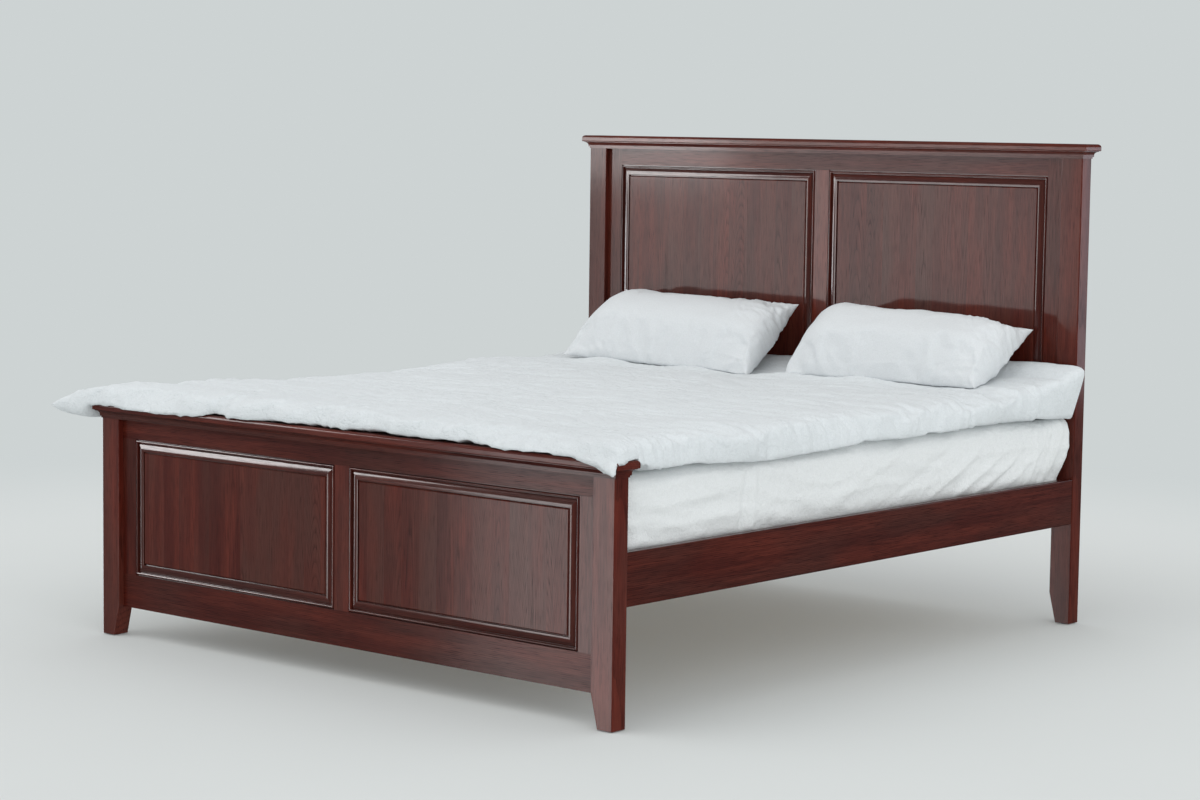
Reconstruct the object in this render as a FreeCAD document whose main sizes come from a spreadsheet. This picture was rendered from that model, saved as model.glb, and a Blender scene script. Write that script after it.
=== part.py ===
import FreeCAD, Part
import math
import os

import Sketcher

# A panel bed in stained oak for a 1.8 x 2.0 m mattress: a tall headboard and a low footboard, each
# of two square posts that hold a frame of rails and stiles with two raised panels, under a
# moulded cap. Side rails hook into the posts and carry ledgers and slats. The mattress, a thick
# duvet and two pillows lie on it.
#
# Millimetres. +X is the bed's right side as seen from its foot, -Y the foot end, +Y the head end,
# +Z up. The origin is on the floor under the bed's middle, at the foot of the centre leg.

DIMENSIONS = {
    # the whole bed, over its posts
    "bed_width": 1880,
    "bed_length": 2120,
    # posts
    "post_width": 70,
    "post_depth": 50,
    "post_round": 2.5,
    "head_height": 1365,
    "foot_height": 612,
    "taper_height": 91,
    "taper_width": 48,
    "glide_height": 3,
    "glide_radius": 15,
    # the framed panels between the posts
    "frame_recess": 16,
    "frame_thick": 28,
    "head_frame_low": 300,
    "head_bottom_rail_height": 170,
    "foot_frame_low": 85,
    "foot_bottom_rail_height": 94,
    "top_rail_height": 53,
    "outer_stile_width": 54,
    "mid_stile_width": 53,
    "groove_inset": 9,
    "tongue_thick": 10,
    "groove_depth": 12,
    "tongue_play": 1.5,
    "tenon_length": 30,
    "tenon_shoulder": 14,
    "mortise_spare": 1,
    "field_bevel": 3.5,
    # the moulding that runs round each panel, across its width
    "moulding_width": 34,
    "moulding_quirk": 2.2,
    "outer_bead_radius": 3.2,
    "outer_bead_proud": 1.8,
    "swell_radius": 30,
    "swell_proud": 0.6,
    "swell_lean": 4.5,
    "quirk_deep": 5,
    # caps, from their underside up
    "cap_step_height": 5,
    "cap_step_proud": 2,
    "cap_band_height": 5,
    "cap_band_proud": 5,
    "cap_cove_radius": 10,
    "cap_neck_height": 2,
    "cap_board_thick": 20,
    "cap_front_proud": 18,
    "cap_rear_proud": 16,
    "cap_end_proud": 22,
    "cap_top_round": 9,
    "cap_bottom_round": 2.5,
    # side rails and the fittings that hook them to the posts
    "rail_inset": 2,
    "rail_thick": 26,
    "rail_low": 298,
    "rail_height": 133,
    "rail_round": 3,
    "plate_width": 16,
    "plate_thick": 3,
    "hook_plate_height": 110,
    "slot_plate_height": 124,
    "hook_pitch": 52,
    "hook_thick": 4.5,
    "hook_neck_height": 14,
    "hook_tip_drop": 10,
    "hook_tip_thick": 4,
    "hook_play": 0.4,
    "slot_width": 6,
    "slot_spare": 1,
    "pocket_width": 9,
    "pocket_depth": 9,
    "pocket_spare": 2,
    # the sprung base
    "mattress_seat": 396,
    "slat_count": 14,
    "slat_width": 80,
    "slat_thick": 18,
    "slat_round": 2.5,
    "slat_play": 2,
    "slat_end_space": 20,
    "ledger_width": 25,
    "ledger_height": 30,
    "ledger_end_gap": 5,
    "beam_width": 40,
    "beam_height": 60,
    "bracket_thick": 2.5,
    "bracket_reach": 50,
    "bracket_height": 106,
    "bracket_drop": 15,
    "bracket_play": 0.3,
    "leg_width": 45,
    "leg_round": 2,
    # dowels and screws
    "dowel_radius": 5,
    "stile_dowel_length": 48,
    "cap_dowel_length": 56,
    "cap_dowel_rise": 30,
    "dowel_spare": 1,
    "bore_play": 0.05,
    "screw_radius": 2,
    "screw_head_radius": 4,
    "screw_head_height": 2.5,
    "ledger_screw_length": 40,
    "slat_screw_length": 32,
    "plate_screw_length": 22,
    "plate_screw_edge": 6,
    "leg_bolt_radius": 4,
    "leg_bolt_length": 60,
    # bedding
    "mattress_side_gap": 7,
    "mattress_foot_gap": 4,
    "mattress_head_gap": 10,
    "mattress_thick": 220,
    "mattress_corner": 60,
    "mattress_round": 34,
    "soft_gap": 0.3,
    "duvet_thick": 88,
    "duvet_swell": 0.025,
    "duvet_right_hang": 38,
    "duvet_left_hang": 78,
    "duvet_corner_reach": 150,
    "duvet_front_lap": 18,
    "duvet_front_rise": 16,
    "duvet_front_slope": 60,
    "duvet_cap_slope": 10,
    "duvet_seat_slope": 110,
    "duvet_cap_sink": 14,
    "duvet_head_gap": 25,
    "duvet_hem_height": 604,
    "duvet_hem_tuck": 14,
    "duvet_hem_width": 18,
    "duvet_shoulder_inset": 25,
    "duvet_bearing_inset": 40,
    "duvet_ripple": 2,
    "pillow_length": 706,
    "pillow_width": 360,
    "pillow_crown": 92,
    "pillow_belly": 44,
    "pillow_edge": 7,
    "pillow_waist": 16,
    "pillow_tilt": 32,
    "pillow_spread": 848,
    "pillow_shift": 26,
    "pillow_head_gap": 22,
}

doc = FreeCAD.newDocument("PanelBed")
sheet = doc.addObject("Spreadsheet::Sheet", "dims")
for row, (alias, number) in enumerate(DIMENSIONS.items(), start=1):
    sheet.set(f"A{row}", alias)
    sheet.set(f"B{row}", str(number))
    sheet.setAlias(f"B{row}", alias)
doc.recompute()


class Size:
    """A length as a number, with the sheet formula that keeps it current."""

    def __init__(self, number, formula):
        self.number = float(number)
        self.formula = formula

    def __add__(self, other):
        other = as_size(other)
        return Size(self.number + other.number, f"({self.formula} + {other.formula})")

    def __sub__(self, other):
        other = as_size(other)
        return Size(self.number - other.number, f"({self.formula} - {other.formula})")

    def __mul__(self, factor):
        factor = as_size(factor)
        return Size(self.number * factor.number, f"{self.formula} * {factor.formula}")

    def __truediv__(self, divisor):
        divisor = as_size(divisor)
        return Size(self.number / divisor.number, f"{self.formula} / {divisor.formula}")

    def __radd__(self, other):
        return as_size(other) + self

    def __rsub__(self, other):
        return as_size(other) - self

    def __rmul__(self, other):
        return as_size(other) * self

    def __neg__(self):
        return Size(-self.number, f"(0 - {self.formula})")


def as_size(value):
    if isinstance(value, Size):
        return value
    return Size(value, f"({value!r})")


def dim(alias):
    """The sheet's cell of that name."""
    return Size(sheet.get(alias), f"dims.{alias}")


def bind(target, prop, size):
    target.setExpression(prop, as_size(size).formula)


def place(target, x=0, y=0, z=0):
    for axis, size in (("x", x), ("y", y), ("z", z)):
        bind(target, f"Placement.Base.{axis}", size)


# ---------------------------------------------------------------- plain solids and booleans

def block(name, x, y, z):
    """A box between the pairs of coordinates x, y and z."""
    box = doc.addObject("Part::Box", name)
    for prop, (low, high) in (("Length", x), ("Width", y), ("Height", z)):
        bind(box, prop, high - low)
    place(box, x[0], y[0], z[0])
    return box


AXIS_TURNS = {
    "+x": FreeCAD.Rotation(FreeCAD.Vector(0, 1, 0), 90),
    "-x": FreeCAD.Rotation(FreeCAD.Vector(0, 1, 0), -90),
    "+y": FreeCAD.Rotation(FreeCAD.Vector(1, 0, 0), -90),
    "-y": FreeCAD.Rotation(FreeCAD.Vector(1, 0, 0), 90),
    "+z": FreeCAD.Rotation(),
    "-z": FreeCAD.Rotation(FreeCAD.Vector(1, 0, 0), 180),
}


def rod(name, radius, length, start, way):
    """A round rod from start along way, such as '+x'."""
    cylinder = doc.addObject("Part::Cylinder", name)
    bind(cylinder, "Radius", radius)
    bind(cylinder, "Height", length)
    cylinder.Placement = FreeCAD.Placement(FreeCAD.Vector(), AXIS_TURNS[way])
    place(cylinder, *start)
    return cylinder


def taper(name, start_radius, end_radius, length, start, way):
    cone = doc.addObject("Part::Cone", name)
    bind(cone, "Radius1", start_radius)
    bind(cone, "Radius2", end_radius)
    bind(cone, "Height", length)
    cone.Placement = FreeCAD.Placement(FreeCAD.Vector(), AXIS_TURNS[way])
    place(cone, *start)
    return cone


def fuse(name, parts):
    union = doc.addObject("Part::MultiFuse", name)
    union.Shapes = parts
    union.Refine = True
    return union


def group(name, parts):
    compound = doc.addObject("Part::Compound", name)
    compound.Links = parts
    return compound


def cut(name, base, tools):
    """base without the tools, which may be one object or a list."""
    result = doc.addObject("Part::Cut", name)
    result.Base = base
    result.Tool = group(f"{name}_cutters", tools) if isinstance(tools, list) else tools
    result.Refine = True
    return result


def edge_numbers(shape, wanted):
    return [i for i, edge in enumerate(shape.Edges, start=1) if wanted(edge)]


def ends_of(edge):
    return [vertex.Point for vertex in edge.Vertexes]


def runs_along(axis):
    """A test for edges that run along axis 0, 1 or 2."""
    others = [i for i in range(3) if i != axis]

    def wanted(edge):
        a, b = ends_of(edge)
        return all(abs(a[i] - b[i]) < 1e-6 for i in others)

    return wanted


def lies_at(axis, place_mm):
    """A test for edges that lie in the plane where that axis has that value."""
    def wanted(edge):
        return all(abs(point[axis] - place_mm) < 1e-6 for point in ends_of(edge))

    return wanted


def rounded(name, base, radius, wanted):
    """base with the wanted edges rounded to the radius."""
    doc.recompute()
    fillet = doc.addObject("Part::Fillet", name)
    fillet.Base = base
    fillet.Edges = [(i, radius.number, radius.number) for i in edge_numbers(base.Shape, wanted)]
    return fillet


def bevelled(name, base, size, wanted):
    doc.recompute()
    chamfer = doc.addObject("Part::Chamfer", name)
    chamfer.Base = base
    chamfer.Edges = [(i, size.number, size.number) for i in edge_numbers(base.Shape, wanted)]
    return chamfer


# ---------------------------------------------------------------- bodies with sketches

def origin_plane(body, role):
    return next(item for item in body.Origin.OriginFeatures if item.Role == role)


def outline_sketch(body, name, role, corners):
    """A closed outline of straight lines, each corner held by its distances from the origin."""
    sketch = body.newObject("Sketcher::SketchObject", name)
    sketch.AttachmentSupport = [(origin_plane(body, role), "")]
    sketch.MapMode = "FlatFace"
    corners = [(as_size(u), as_size(v)) for u, v in corners]
    count = len(corners)
    for i in range(count):
        (u0, v0), (u1, v1) = corners[i], corners[(i + 1) % count]
        start = FreeCAD.Vector(u0.number, v0.number, 0)
        end = FreeCAD.Vector(u1.number, v1.number, 0)
        sketch.addGeometry(Part.LineSegment(start, end), False)
    for i in range(count):
        sketch.addConstraint(Sketcher.Constraint("Coincident", i, 2, (i + 1) % count, 1))
    for i, (u, v) in enumerate(corners):
        for kind, size, line in (("DistanceX", u, -2), ("DistanceY", v, -1)):
            if size.number == 0:
                sketch.addConstraint(Sketcher.Constraint("PointOnObject", i, 1, line))
                continue
            held = sketch.addConstraint(Sketcher.Constraint(kind, -1, 1, i, 1, size.number))
            sketch.setExpression(f"Constraints[{held}]", size.formula)
    return sketch


def padded_body(name, role, corners, thick, reverse=False):
    """A body padded from an outline on one of its origin planes."""
    body = doc.addObject("PartDesign::Body", name)
    sketch = outline_sketch(body, f"{name}_outline", role, corners)
    pad = body.newObject("PartDesign::Pad", f"{name}_pad")
    pad.Profile = sketch
    bind(pad, "Length", thick)
    pad.Reversed = reverse
    sketch.Visibility = False
    doc.recompute()
    return body, pad


def round_body(body, base, radius, wanted, name="round"):
    fillet = body.newObject("PartDesign::Fillet", f"{body.Name}_{name}")
    fillet.Base = (base, [f"Edge{i}" for i in edge_numbers(base.Shape, wanted)])
    bind(fillet, "Radius", radius)
    doc.recompute()
    return fillet


def rectangle(width, height):
    return [(0, 0), (width, 0), (width, height), (0, height)]


# ---------------------------------------------------------------- shared sizes

half_width = dim("bed_width") / 2
half_length = dim("bed_length") / 2
post_inner = half_width - dim("post_width")
rail_end = half_length - dim("post_depth")
rail_outer = half_width - dim("rail_inset")
rail_inner = rail_outer - dim("rail_thick")
rail_middle = rail_outer - dim("rail_thick") / 2
rail_top = dim("rail_low") + dim("rail_height")
plate_middle = dim("rail_low") + dim("rail_height") / 2
slat_low = dim("mattress_seat") - dim("slat_thick")
ledger_low = slat_low - dim("ledger_height")
beam_low = slat_low - dim("beam_height")
leg_half = dim("leg_width") / 2
beam_half = dim("beam_width") / 2
mid_half = dim("mid_stile_width") / 2
stile_inner = post_inner - dim("outer_stile_width")

cap_neck_proud = dim("cap_band_proud") + dim("cap_cove_radius")
cap_cove_low = dim("cap_step_height") + dim("cap_band_height")
cap_bed_height = cap_cove_low + dim("cap_cove_radius") + dim("cap_neck_height")
cap_height = cap_bed_height + dim("cap_board_thick")


class EndFrame:
    """Where the pieces of the headboard or the footboard lie; y grows towards the head."""

    def __init__(self, name, front, top, frame_low, bottom_rail, stiles_run_through):
        self.name = name
        self.front = front
        self.top = top
        self.low = frame_low
        self.stiles_run_through = stiles_run_through
        self.back = front + dim("post_depth")
        self.face = front + dim("frame_recess")
        self.frame_back = self.face + dim("frame_thick")
        self.groove = (self.face + dim("groove_inset"),
                       self.face + dim("groove_inset") + dim("tongue_thick"))
        self.middle = self.face + dim("frame_thick") / 2
        self.panel_low = frame_low + bottom_rail
        self.panel_high = top - dim("top_rail_height")


foot = EndFrame("foot", -half_length, dim("foot_height"), dim("foot_frame_low"),
                dim("foot_bottom_rail_height"), False)
head = EndFrame("head", rail_end, dim("head_height"), dim("head_frame_low"),
                dim("head_bottom_rail_height"), True)
ENDS = (head, foot)
SIDES = (("left", -1), ("right", 1))

nodes = {}


def keep(name, shape_object):
    """Marks the object as a finished piece of the bed, under its own name."""
    shape_object.Label = name
    nodes[name] = shape_object
    return shape_object


def side_pair(side, near, far):
    """The span from near to far, on the left or right of the bed's middle."""
    return (near, far) if side > 0 else (-far, -near)


# ---------------------------------------------------------------- screws and dowels

def way_step(way, distance):
    step = {"x": 0, "y": 0, "z": 0}
    step[way[1]] = distance if way[0] == "+" else -distance
    return step["x"], step["y"], step["z"]


def moved(start, way, distance):
    return tuple(place_now + step for place_now, step in zip(start, way_step(way, distance)))


def screw(name, start, way, length, play=0):
    """A countersunk screw whose flat head lies at start; play widens it into its own bore."""
    head_radius = dim("screw_head_radius") + play
    shank_radius = dim("screw_radius") + play
    head_part = taper(f"{name}_head", head_radius, shank_radius, dim("screw_head_height"), start, way)
    shank_start = moved(start, way, dim("screw_head_height"))
    shank_length = length - dim("screw_head_height") + play
    shank = rod(f"{name}_shank", shank_radius, shank_length, shank_start, way)
    return fuse(name, [head_part, shank])


class Fasteners:
    """Screws or dowels of one kind, and the bores that they need."""

    def __init__(self):
        self.solids = []
        self.bores = []

    def add_screw(self, name, start, way, length):
        self.solids.append(screw(name, start, way, length))
        bore = screw(f"{name}_bore", start, way, length, dim("bore_play"))
        self.bores.append(bore)
        return bore

    def add_dowel(self, name, middle, way, length, radius=None):
        radius = radius or dim("dowel_radius")
        start = moved(middle, way, -length / 2)
        self.solids.append(rod(name, radius, length, start, way))
        spare = dim("dowel_spare")
        bore = rod(f"{name}_bore", radius + dim("bore_play"), length + 2 * spare,
                   moved(start, way, -spare), way)
        self.bores.append(bore)
        return bore


dowels = Fasteners()
fitting_screws = Fasteners()
ledger_screws = Fasteners()
slat_screws = Fasteners()


def dowel_heights(end):
    """Dowels between stile and post, evenly spaced up the stile."""
    low = end.low if end.stiles_run_through else end.panel_low
    high = end.top if end.stiles_run_through else end.panel_high
    count = 5 if end.stiles_run_through else 3
    return [low + (high - low) * ((2 * i + 1) / (2 * count)) for i in range(count)]


stile_bores = {}
cap_bores = {}
for end in ENDS:
    for side_name, side in SIDES:
        stile_bores[end.name, side] = [
            dowels.add_dowel(f"{end.name}_{side_name}_stile_dowel_{i}",
                             (side * post_inner, end.middle, height), "+x",
                             dim("stile_dowel_length"))
            for i, height in enumerate(dowel_heights(end), start=1)]
    dowel_middle = end.top + dim("cap_dowel_rise") - dim("cap_dowel_length") / 2
    post_place = half_width - dim("post_width") / 2
    for i, x in enumerate((-post_place, -post_inner / 2, as_size(0), post_inner / 2, post_place)):
        cap_bores.setdefault(end.name, []).append(
            dowels.add_dowel(f"{end.name}_cap_dowel_{i}", (x, end.middle, dowel_middle), "+z",
                             dim("cap_dowel_length")))


# ---------------------------------------------------------------- rail hooks and slot plates

hook_heights = [plate_middle + dim("hook_pitch") * (i - 0.5) - dim("hook_neck_height") / 2
                for i in range(2)]
END_WAYS = ((foot, -1), (head, 1))


def outward(end_way, near, far):
    """A span along Y that starts near the bed's middle and runs towards that end."""
    return (near, far) if end_way > 0 else (-far, -near)


def hook_plate(name, x, end_way):
    """A steel plate let into the rail's end, with two hooks that drop behind the slot plate."""
    thick = dim("plate_thick")
    half = dim("plate_width") / 2
    hook_half = dim("hook_thick") / 2
    rise = dim("hook_plate_height") / 2
    parts = [block(f"{name}_plate", (x - half, x + half), outward(end_way, rail_end - thick, rail_end),
                   (plate_middle - rise, plate_middle + rise))]
    tip_start = rail_end + thick + dim("hook_play")
    tip_end = tip_start + dim("hook_tip_thick")
    for i, low in enumerate(hook_heights):
        high = low + dim("hook_neck_height")
        across = (x - hook_half, x + hook_half)
        parts.append(block(f"{name}_neck_{i}", across, outward(end_way, rail_end, tip_end), (low, high)))
        parts.append(block(f"{name}_tip_{i}", across, outward(end_way, tip_start, tip_end),
                           (low - dim("hook_tip_drop"), high)))
    return fuse(f"{name}_blank", parts)


def slot_plate(name, x, end_way):
    """A steel plate let into the post, with two slots that the hooks pass and rest in."""
    thick = dim("plate_thick")
    half = dim("plate_width") / 2
    rise = dim("slot_plate_height") / 2
    plate = block(f"{name}_plate", (x - half, x + half), outward(end_way, rail_end, rail_end + thick),
                  (plate_middle - rise, plate_middle + rise))
    slots = []
    for i, low in enumerate(hook_heights):
        spare = dim("slot_spare")
        slot_high = low + dim("hook_neck_height") + dim("hook_tip_drop") + spare
        slots.append(block(f"{name}_slot_{i}",
                           (x - dim("slot_width") / 2, x + dim("slot_width") / 2),
                           outward(end_way, rail_end - spare, rail_end + thick + spare), (low, slot_high)))
    return plate, cut(f"{name}_slotted", plate, slots)


hook_plates = []
slot_plates = []
rail_recesses = {-1: [], 1: []}
post_recesses = {}
for side_name, side in SIDES:
    for end, end_way in END_WAYS:
        where = f"{end.name}_{side_name}"
        x = side * rail_middle
        thick = dim("plate_thick")
        half = dim("plate_width") / 2
        towards_rail = "-y" if end_way > 0 else "+y"
        towards_post = "+y" if end_way > 0 else "-y"
        plate_face = end_way * rail_end
        hooks = hook_plate(f"{where}_hooks", x, end_way)
        plate_solid, slotted = slot_plate(f"{where}_slots", x, end_way)
        hook_bores = []
        slot_bores = []
        for level, up in (("low", -1), ("high", 1)):
            hook_screw_z = plate_middle + up * (dim("hook_plate_height") / 2 - dim("plate_screw_edge"))
            slot_screw_z = plate_middle + up * (dim("slot_plate_height") / 2 - dim("plate_screw_edge"))
            hook_bores.append(fitting_screws.add_screw(
                f"{where}_hook_screw_{level}", (x, plate_face, hook_screw_z), towards_rail,
                dim("plate_screw_length")))
            slot_bores.append(fitting_screws.add_screw(
                f"{where}_slot_screw_{level}", (x, plate_face, slot_screw_z), towards_post,
                dim("plate_screw_length")))
        hook_plates.append(cut(f"{where}_hook_plate", hooks, hook_bores))
        slot_plates.append(cut(f"{where}_slot_plate", slotted, slot_bores))
        rise = dim("hook_plate_height") / 2
        rail_recesses[side] += [
            block(f"{where}_rail_recess", (x - half, x + half),
                  outward(end_way, rail_end - thick, rail_end),
                  (plate_middle - rise, plate_middle + rise))] + hook_bores
        spare = dim("pocket_spare")
        pocket_low = hook_heights[0] - dim("hook_tip_drop") - spare
        pocket_high = hook_heights[1] + dim("hook_neck_height") + dim("hook_tip_drop") + spare
        pocket = block(f"{where}_pocket",
                       (x - dim("pocket_width") / 2, x + dim("pocket_width") / 2),
                       outward(end_way, rail_end + thick, rail_end + thick + dim("pocket_depth")),
                       (pocket_low, pocket_high))
        post_recesses[end.name, side] = [plate_solid, pocket] + slot_bores

keep("rail_hook_plates", group("rail_hook_plates", hook_plates))
keep("post_slot_plates", group("post_slot_plates", slot_plates))


# ---------------------------------------------------------------- posts

def tenon(name, end, side, z):
    """The tongue of a footboard rail that runs into the post."""
    x = side_pair(side, post_inner, post_inner + dim("tenon_length"))
    shoulder = dim("tenon_shoulder")
    return block(name, x, end.groove, (z[0] + shoulder, z[1] - shoulder))


def mortise(name, end, side, z):
    x = side_pair(side, post_inner, post_inner + dim("tenon_length") + dim("mortise_spare"))
    shoulder = dim("tenon_shoulder")
    return block(name, x, end.groove, (z[0] + shoulder, z[1] - shoulder))


def rail_spans(end):
    return {"bottom": (end.low, end.panel_low), "top": (end.panel_high, end.top)}


def post(end, side_name, side):
    """A square post whose inner face tapers to a narrower foot above its glide."""
    name = f"{end.name}_post_{side_name}"
    width = dim("post_width")
    narrow = dim("taper_width")
    taper_top = dim("taper_height") - dim("glide_height")
    height = end.top - dim("glide_height")
    if side > 0:
        corners = [(width - narrow, 0), (width, 0), (width, height), (0, height), (0, taper_top)]
        left = post_inner
    else:
        corners = [(0, 0), (narrow, 0), (width, taper_top), (width, height), (0, height)]
        left = -half_width
    body, pad = padded_body(f"{name}_blank", "XZ_Plane", corners, dim("post_depth"), reverse=True)
    front = lies_at(1, 0)
    rear = lies_at(1, dim("post_depth").number)
    upright = runs_along(2)

    def long_edge(edge):
        a, b = ends_of(edge)
        return (front(edge) or rear(edge)) and abs(a.z - b.z) > 1 or upright(edge)

    round_body(body, pad, dim("post_round"), long_edge)
    place(body, left, end.front, dim("glide_height"))
    tools = list(stile_bores[end.name, side]) + list(post_recesses[end.name, side])
    tools.append(cap_bores[end.name][0 if side < 0 else -1])
    if not end.stiles_run_through:
        for rail_name, z in rail_spans(end).items():
            tools.append(mortise(f"{name}_{rail_name}_mortise", end, side, z))
    keep(name, cut(name, body, tools))


for end in ENDS:
    for side_name, side in SIDES:
        post(end, side_name, side)


# ---------------------------------------------------------------- rails and stiles of the panels

def rail_grooves(end, name, x, edge_z, up):
    """A groove in a rail's edge for the panels and the stiles' stub tenons."""
    depth = dim("groove_depth")
    z = (edge_z - depth, edge_z) if up else (edge_z, edge_z + depth)
    return block(f"{name}_groove", x, end.groove, z)


def stile_grooves(end, name, edges, z):
    """Grooves up a stile's edges; each edge is its x and the side on which the panel lies."""
    depth = dim("groove_depth")
    tools = []
    for i, (x, panel_side) in enumerate(edges):
        span = (x - depth, x) if panel_side > 0 else (x, x + depth)
        tools.append(block(f"{name}_groove_{i}", span, end.groove, z))
    return tools


def footboard_rail(end, which, z):
    """A footboard rail runs from post to post, with a tenon in each."""
    name = f"{end.name}_{which}_rail"
    y = (end.face, end.frame_back)
    parts = [block(f"{name}_bar", (-post_inner, post_inner), y, z)]
    parts += [tenon(f"{name}_{side_name}_tenon", end, side, z) for side_name, side in SIDES]
    panel_above = which == "bottom"
    edge_z = z[1] if panel_above else z[0]
    tools = [rail_grooves(end, name, (-post_inner, post_inner), edge_z, panel_above)]
    if which == "top":
        tools += cap_bores[end.name][1:-1]
    keep(name, cut(name, fuse(f"{name}_blank", parts), tools))


def headboard_rail(end, which, z):
    """A headboard rail lies between the stiles, with a stub tenon in each one's groove."""
    name = f"{end.name}_{which}_rail"
    y = (end.face, end.frame_back)
    stub = dim("groove_depth")
    parts = [block(f"{name}_bar", (-stile_inner, stile_inner), y, z),
             block(f"{name}_stubs", (-stile_inner - stub, stile_inner + stub), end.groove, z)]
    panel_above = which == "bottom"
    edge_z = z[1] if panel_above else z[0]
    tools = [rail_grooves(end, name, (-stile_inner - stub, stile_inner + stub), edge_z, panel_above)]
    if which == "top":
        tools += cap_bores[end.name][1:-1]
    else:
        tools += bracket_bores["head"]
    keep(name, cut(name, fuse(f"{name}_blank", parts), tools))


def outer_stile(end, side_name, side):
    name = f"{end.name}_stile_{side_name}"
    y = (end.face, end.frame_back)
    stub = dim("groove_depth")
    x = side_pair(side, stile_inner, post_inner)
    if end.stiles_run_through:
        blank = block(f"{name}_bar", x, y, (end.low, end.top))
        groove_z = (end.low, end.top)
    else:
        bar = block(f"{name}_bar", x, y, (end.panel_low, end.panel_high))
        stubs = block(f"{name}_stubs", x, end.groove, (end.panel_low - stub, end.panel_high + stub))
        blank = fuse(f"{name}_blank", [bar, stubs])
        groove_z = (end.panel_low - stub, end.panel_high + stub)
    tools = stile_grooves(end, name, [(side * stile_inner, -side)], groove_z)
    keep(name, cut(name, blank, tools + stile_bores[end.name, side]))


def middle_stile(end):
    name = f"{end.name}_mid_stile"
    stub = dim("groove_depth")
    bar = block(f"{name}_bar", (-mid_half, mid_half), (end.face, end.frame_back),
                (end.panel_low, end.panel_high))
    z = (end.panel_low - stub, end.panel_high + stub)
    stubs = block(f"{name}_stubs", (-mid_half, mid_half), end.groove, z)
    tools = stile_grooves(end, name, [(-mid_half, -1), (mid_half, 1)], z)
    if end.name == "foot":
        tools += bracket_bores["foot"]
    keep(name, cut(name, fuse(f"{name}_blank", [bar, stubs]), tools))


def panel_span(side):
    return side_pair(side, mid_half, stile_inner)


def panel(end, side_name, side):
    """A raised panel: a thin margin whose edge lies in the grooves, and a field flush with the frame."""
    name = f"{end.name}_panel_{side_name}"
    reach = dim("groove_depth") - dim("tongue_play")
    x = panel_span(side)
    margin = block(f"{name}_margin", (x[0] - reach, x[1] + reach), end.groove,
                   (end.panel_low - reach, end.panel_high + reach))
    inset = dim("moulding_width")
    field = block(f"{name}_field", (x[0] + inset, x[1] - inset), (end.face, end.groove[0]),
                  (end.panel_low + inset, end.panel_high - inset))
    eased = bevelled(f"{name}_eased_field", field, dim("field_bevel"), lies_at(1, end.face.number))
    keep(name, fuse(name, [margin, eased]))


# ---------------------------------------------------------------- mitred mouldings round the panels

def moulding_bar(name, length):
    """One bar's section along X: u runs inward from the frame's edge along Y, z out of its face.

    A bead stands beside the frame, and a broad swell rises from it to the panel's field.
    """
    quirk = dim("moulding_quirk")
    seat = -dim("groove_inset")
    floor = -dim("quirk_deep")
    width = dim("moulding_width")
    bead_radius = dim("outer_bead_radius")
    bead_u = quirk + bead_radius
    bead_z = dim("outer_bead_proud") - bead_radius
    swell_start = bead_u + bead_radius
    swell_end = width - quirk
    swell_axis = (0, swell_end - dim("swell_lean"), dim("swell_proud") - dim("swell_radius"))
    whole = (as_size(0), length)
    base = block(f"{name}_base", whole, (as_size(0), width), (seat, floor))
    core = block(f"{name}_core", whole, (quirk, swell_start), (seat, bead_z))
    bead = rod(f"{name}_bead", bead_radius, length, (0, bead_u, bead_z), "+x")
    swell = doc.addObject("Part::Common", f"{name}_swell")
    swell.Base = rod(f"{name}_swell_round", dim("swell_radius"), length, swell_axis, "+x")
    swell.Tool = block(f"{name}_swell_room", whole, (swell_start, swell_end), (seat, dim("swell_proud")))
    return fuse(f"{name}_section", [base, core, bead, swell])


def mitred_bar(name, length):
    """The bar cut at 45 degrees at both ends, wide on its outer side."""
    width = dim("moulding_width")
    prism = doc.addObject("Part::Wedge", f"{name}_mitre")
    bounds = {"Xmin": 0, "Ymin": 0, "Zmin": -dim("groove_inset"), "X2min": width,
              "Z2min": -dim("groove_inset"), "Xmax": length, "Ymax": width,
              "Zmax": dim("outer_bead_proud"), "X2max": length - width,
              "Z2max": dim("outer_bead_proud")}
    for prop, size in bounds.items():
        bind(prism, prop, size)
    bar = doc.addObject("Part::Common", name)
    bar.Base = prism
    bar.Tool = moulding_bar(name, length)
    return bar


FACE_UP = FreeCAD.Rotation(FreeCAD.Vector(1, 0, 0), 90)
MOULDING_TURNS = {"bottom": 0, "left": 90, "top": 180, "right": -90}


def moulding(end, side_name, side):
    """Four mitred bars that frame one panel."""
    name = f"{end.name}_moulding_{side_name}"
    x = panel_span(side)
    width = x[1] - x[0]
    height = end.panel_high - end.panel_low
    corners = {"bottom": (x[0], end.panel_low), "left": (x[0], end.panel_high),
               "top": (x[1], end.panel_high), "right": (x[1], end.panel_low)}
    bars = []
    for edge, angle in MOULDING_TURNS.items():
        length = width if edge in ("bottom", "top") else height
        bar = mitred_bar(f"{name}_{edge}", length)
        turn = FreeCAD.Rotation(FreeCAD.Vector(0, 1, 0), angle) * FACE_UP
        bar.Placement = FreeCAD.Placement(FreeCAD.Vector(), turn)
        place(bar, corners[edge][0], end.face, corners[edge][1])
        bars.append(bar)
    keep(name, group(name, bars))


# ---------------------------------------------------------------- caps

def around(end, z, proud):
    """A board over the posts that stands proud of them all round."""
    return ((-half_width - proud, half_width + proud), (end.front - proud, end.back + proud),
            (end.top + z[0], end.top + z[1]))


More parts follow.
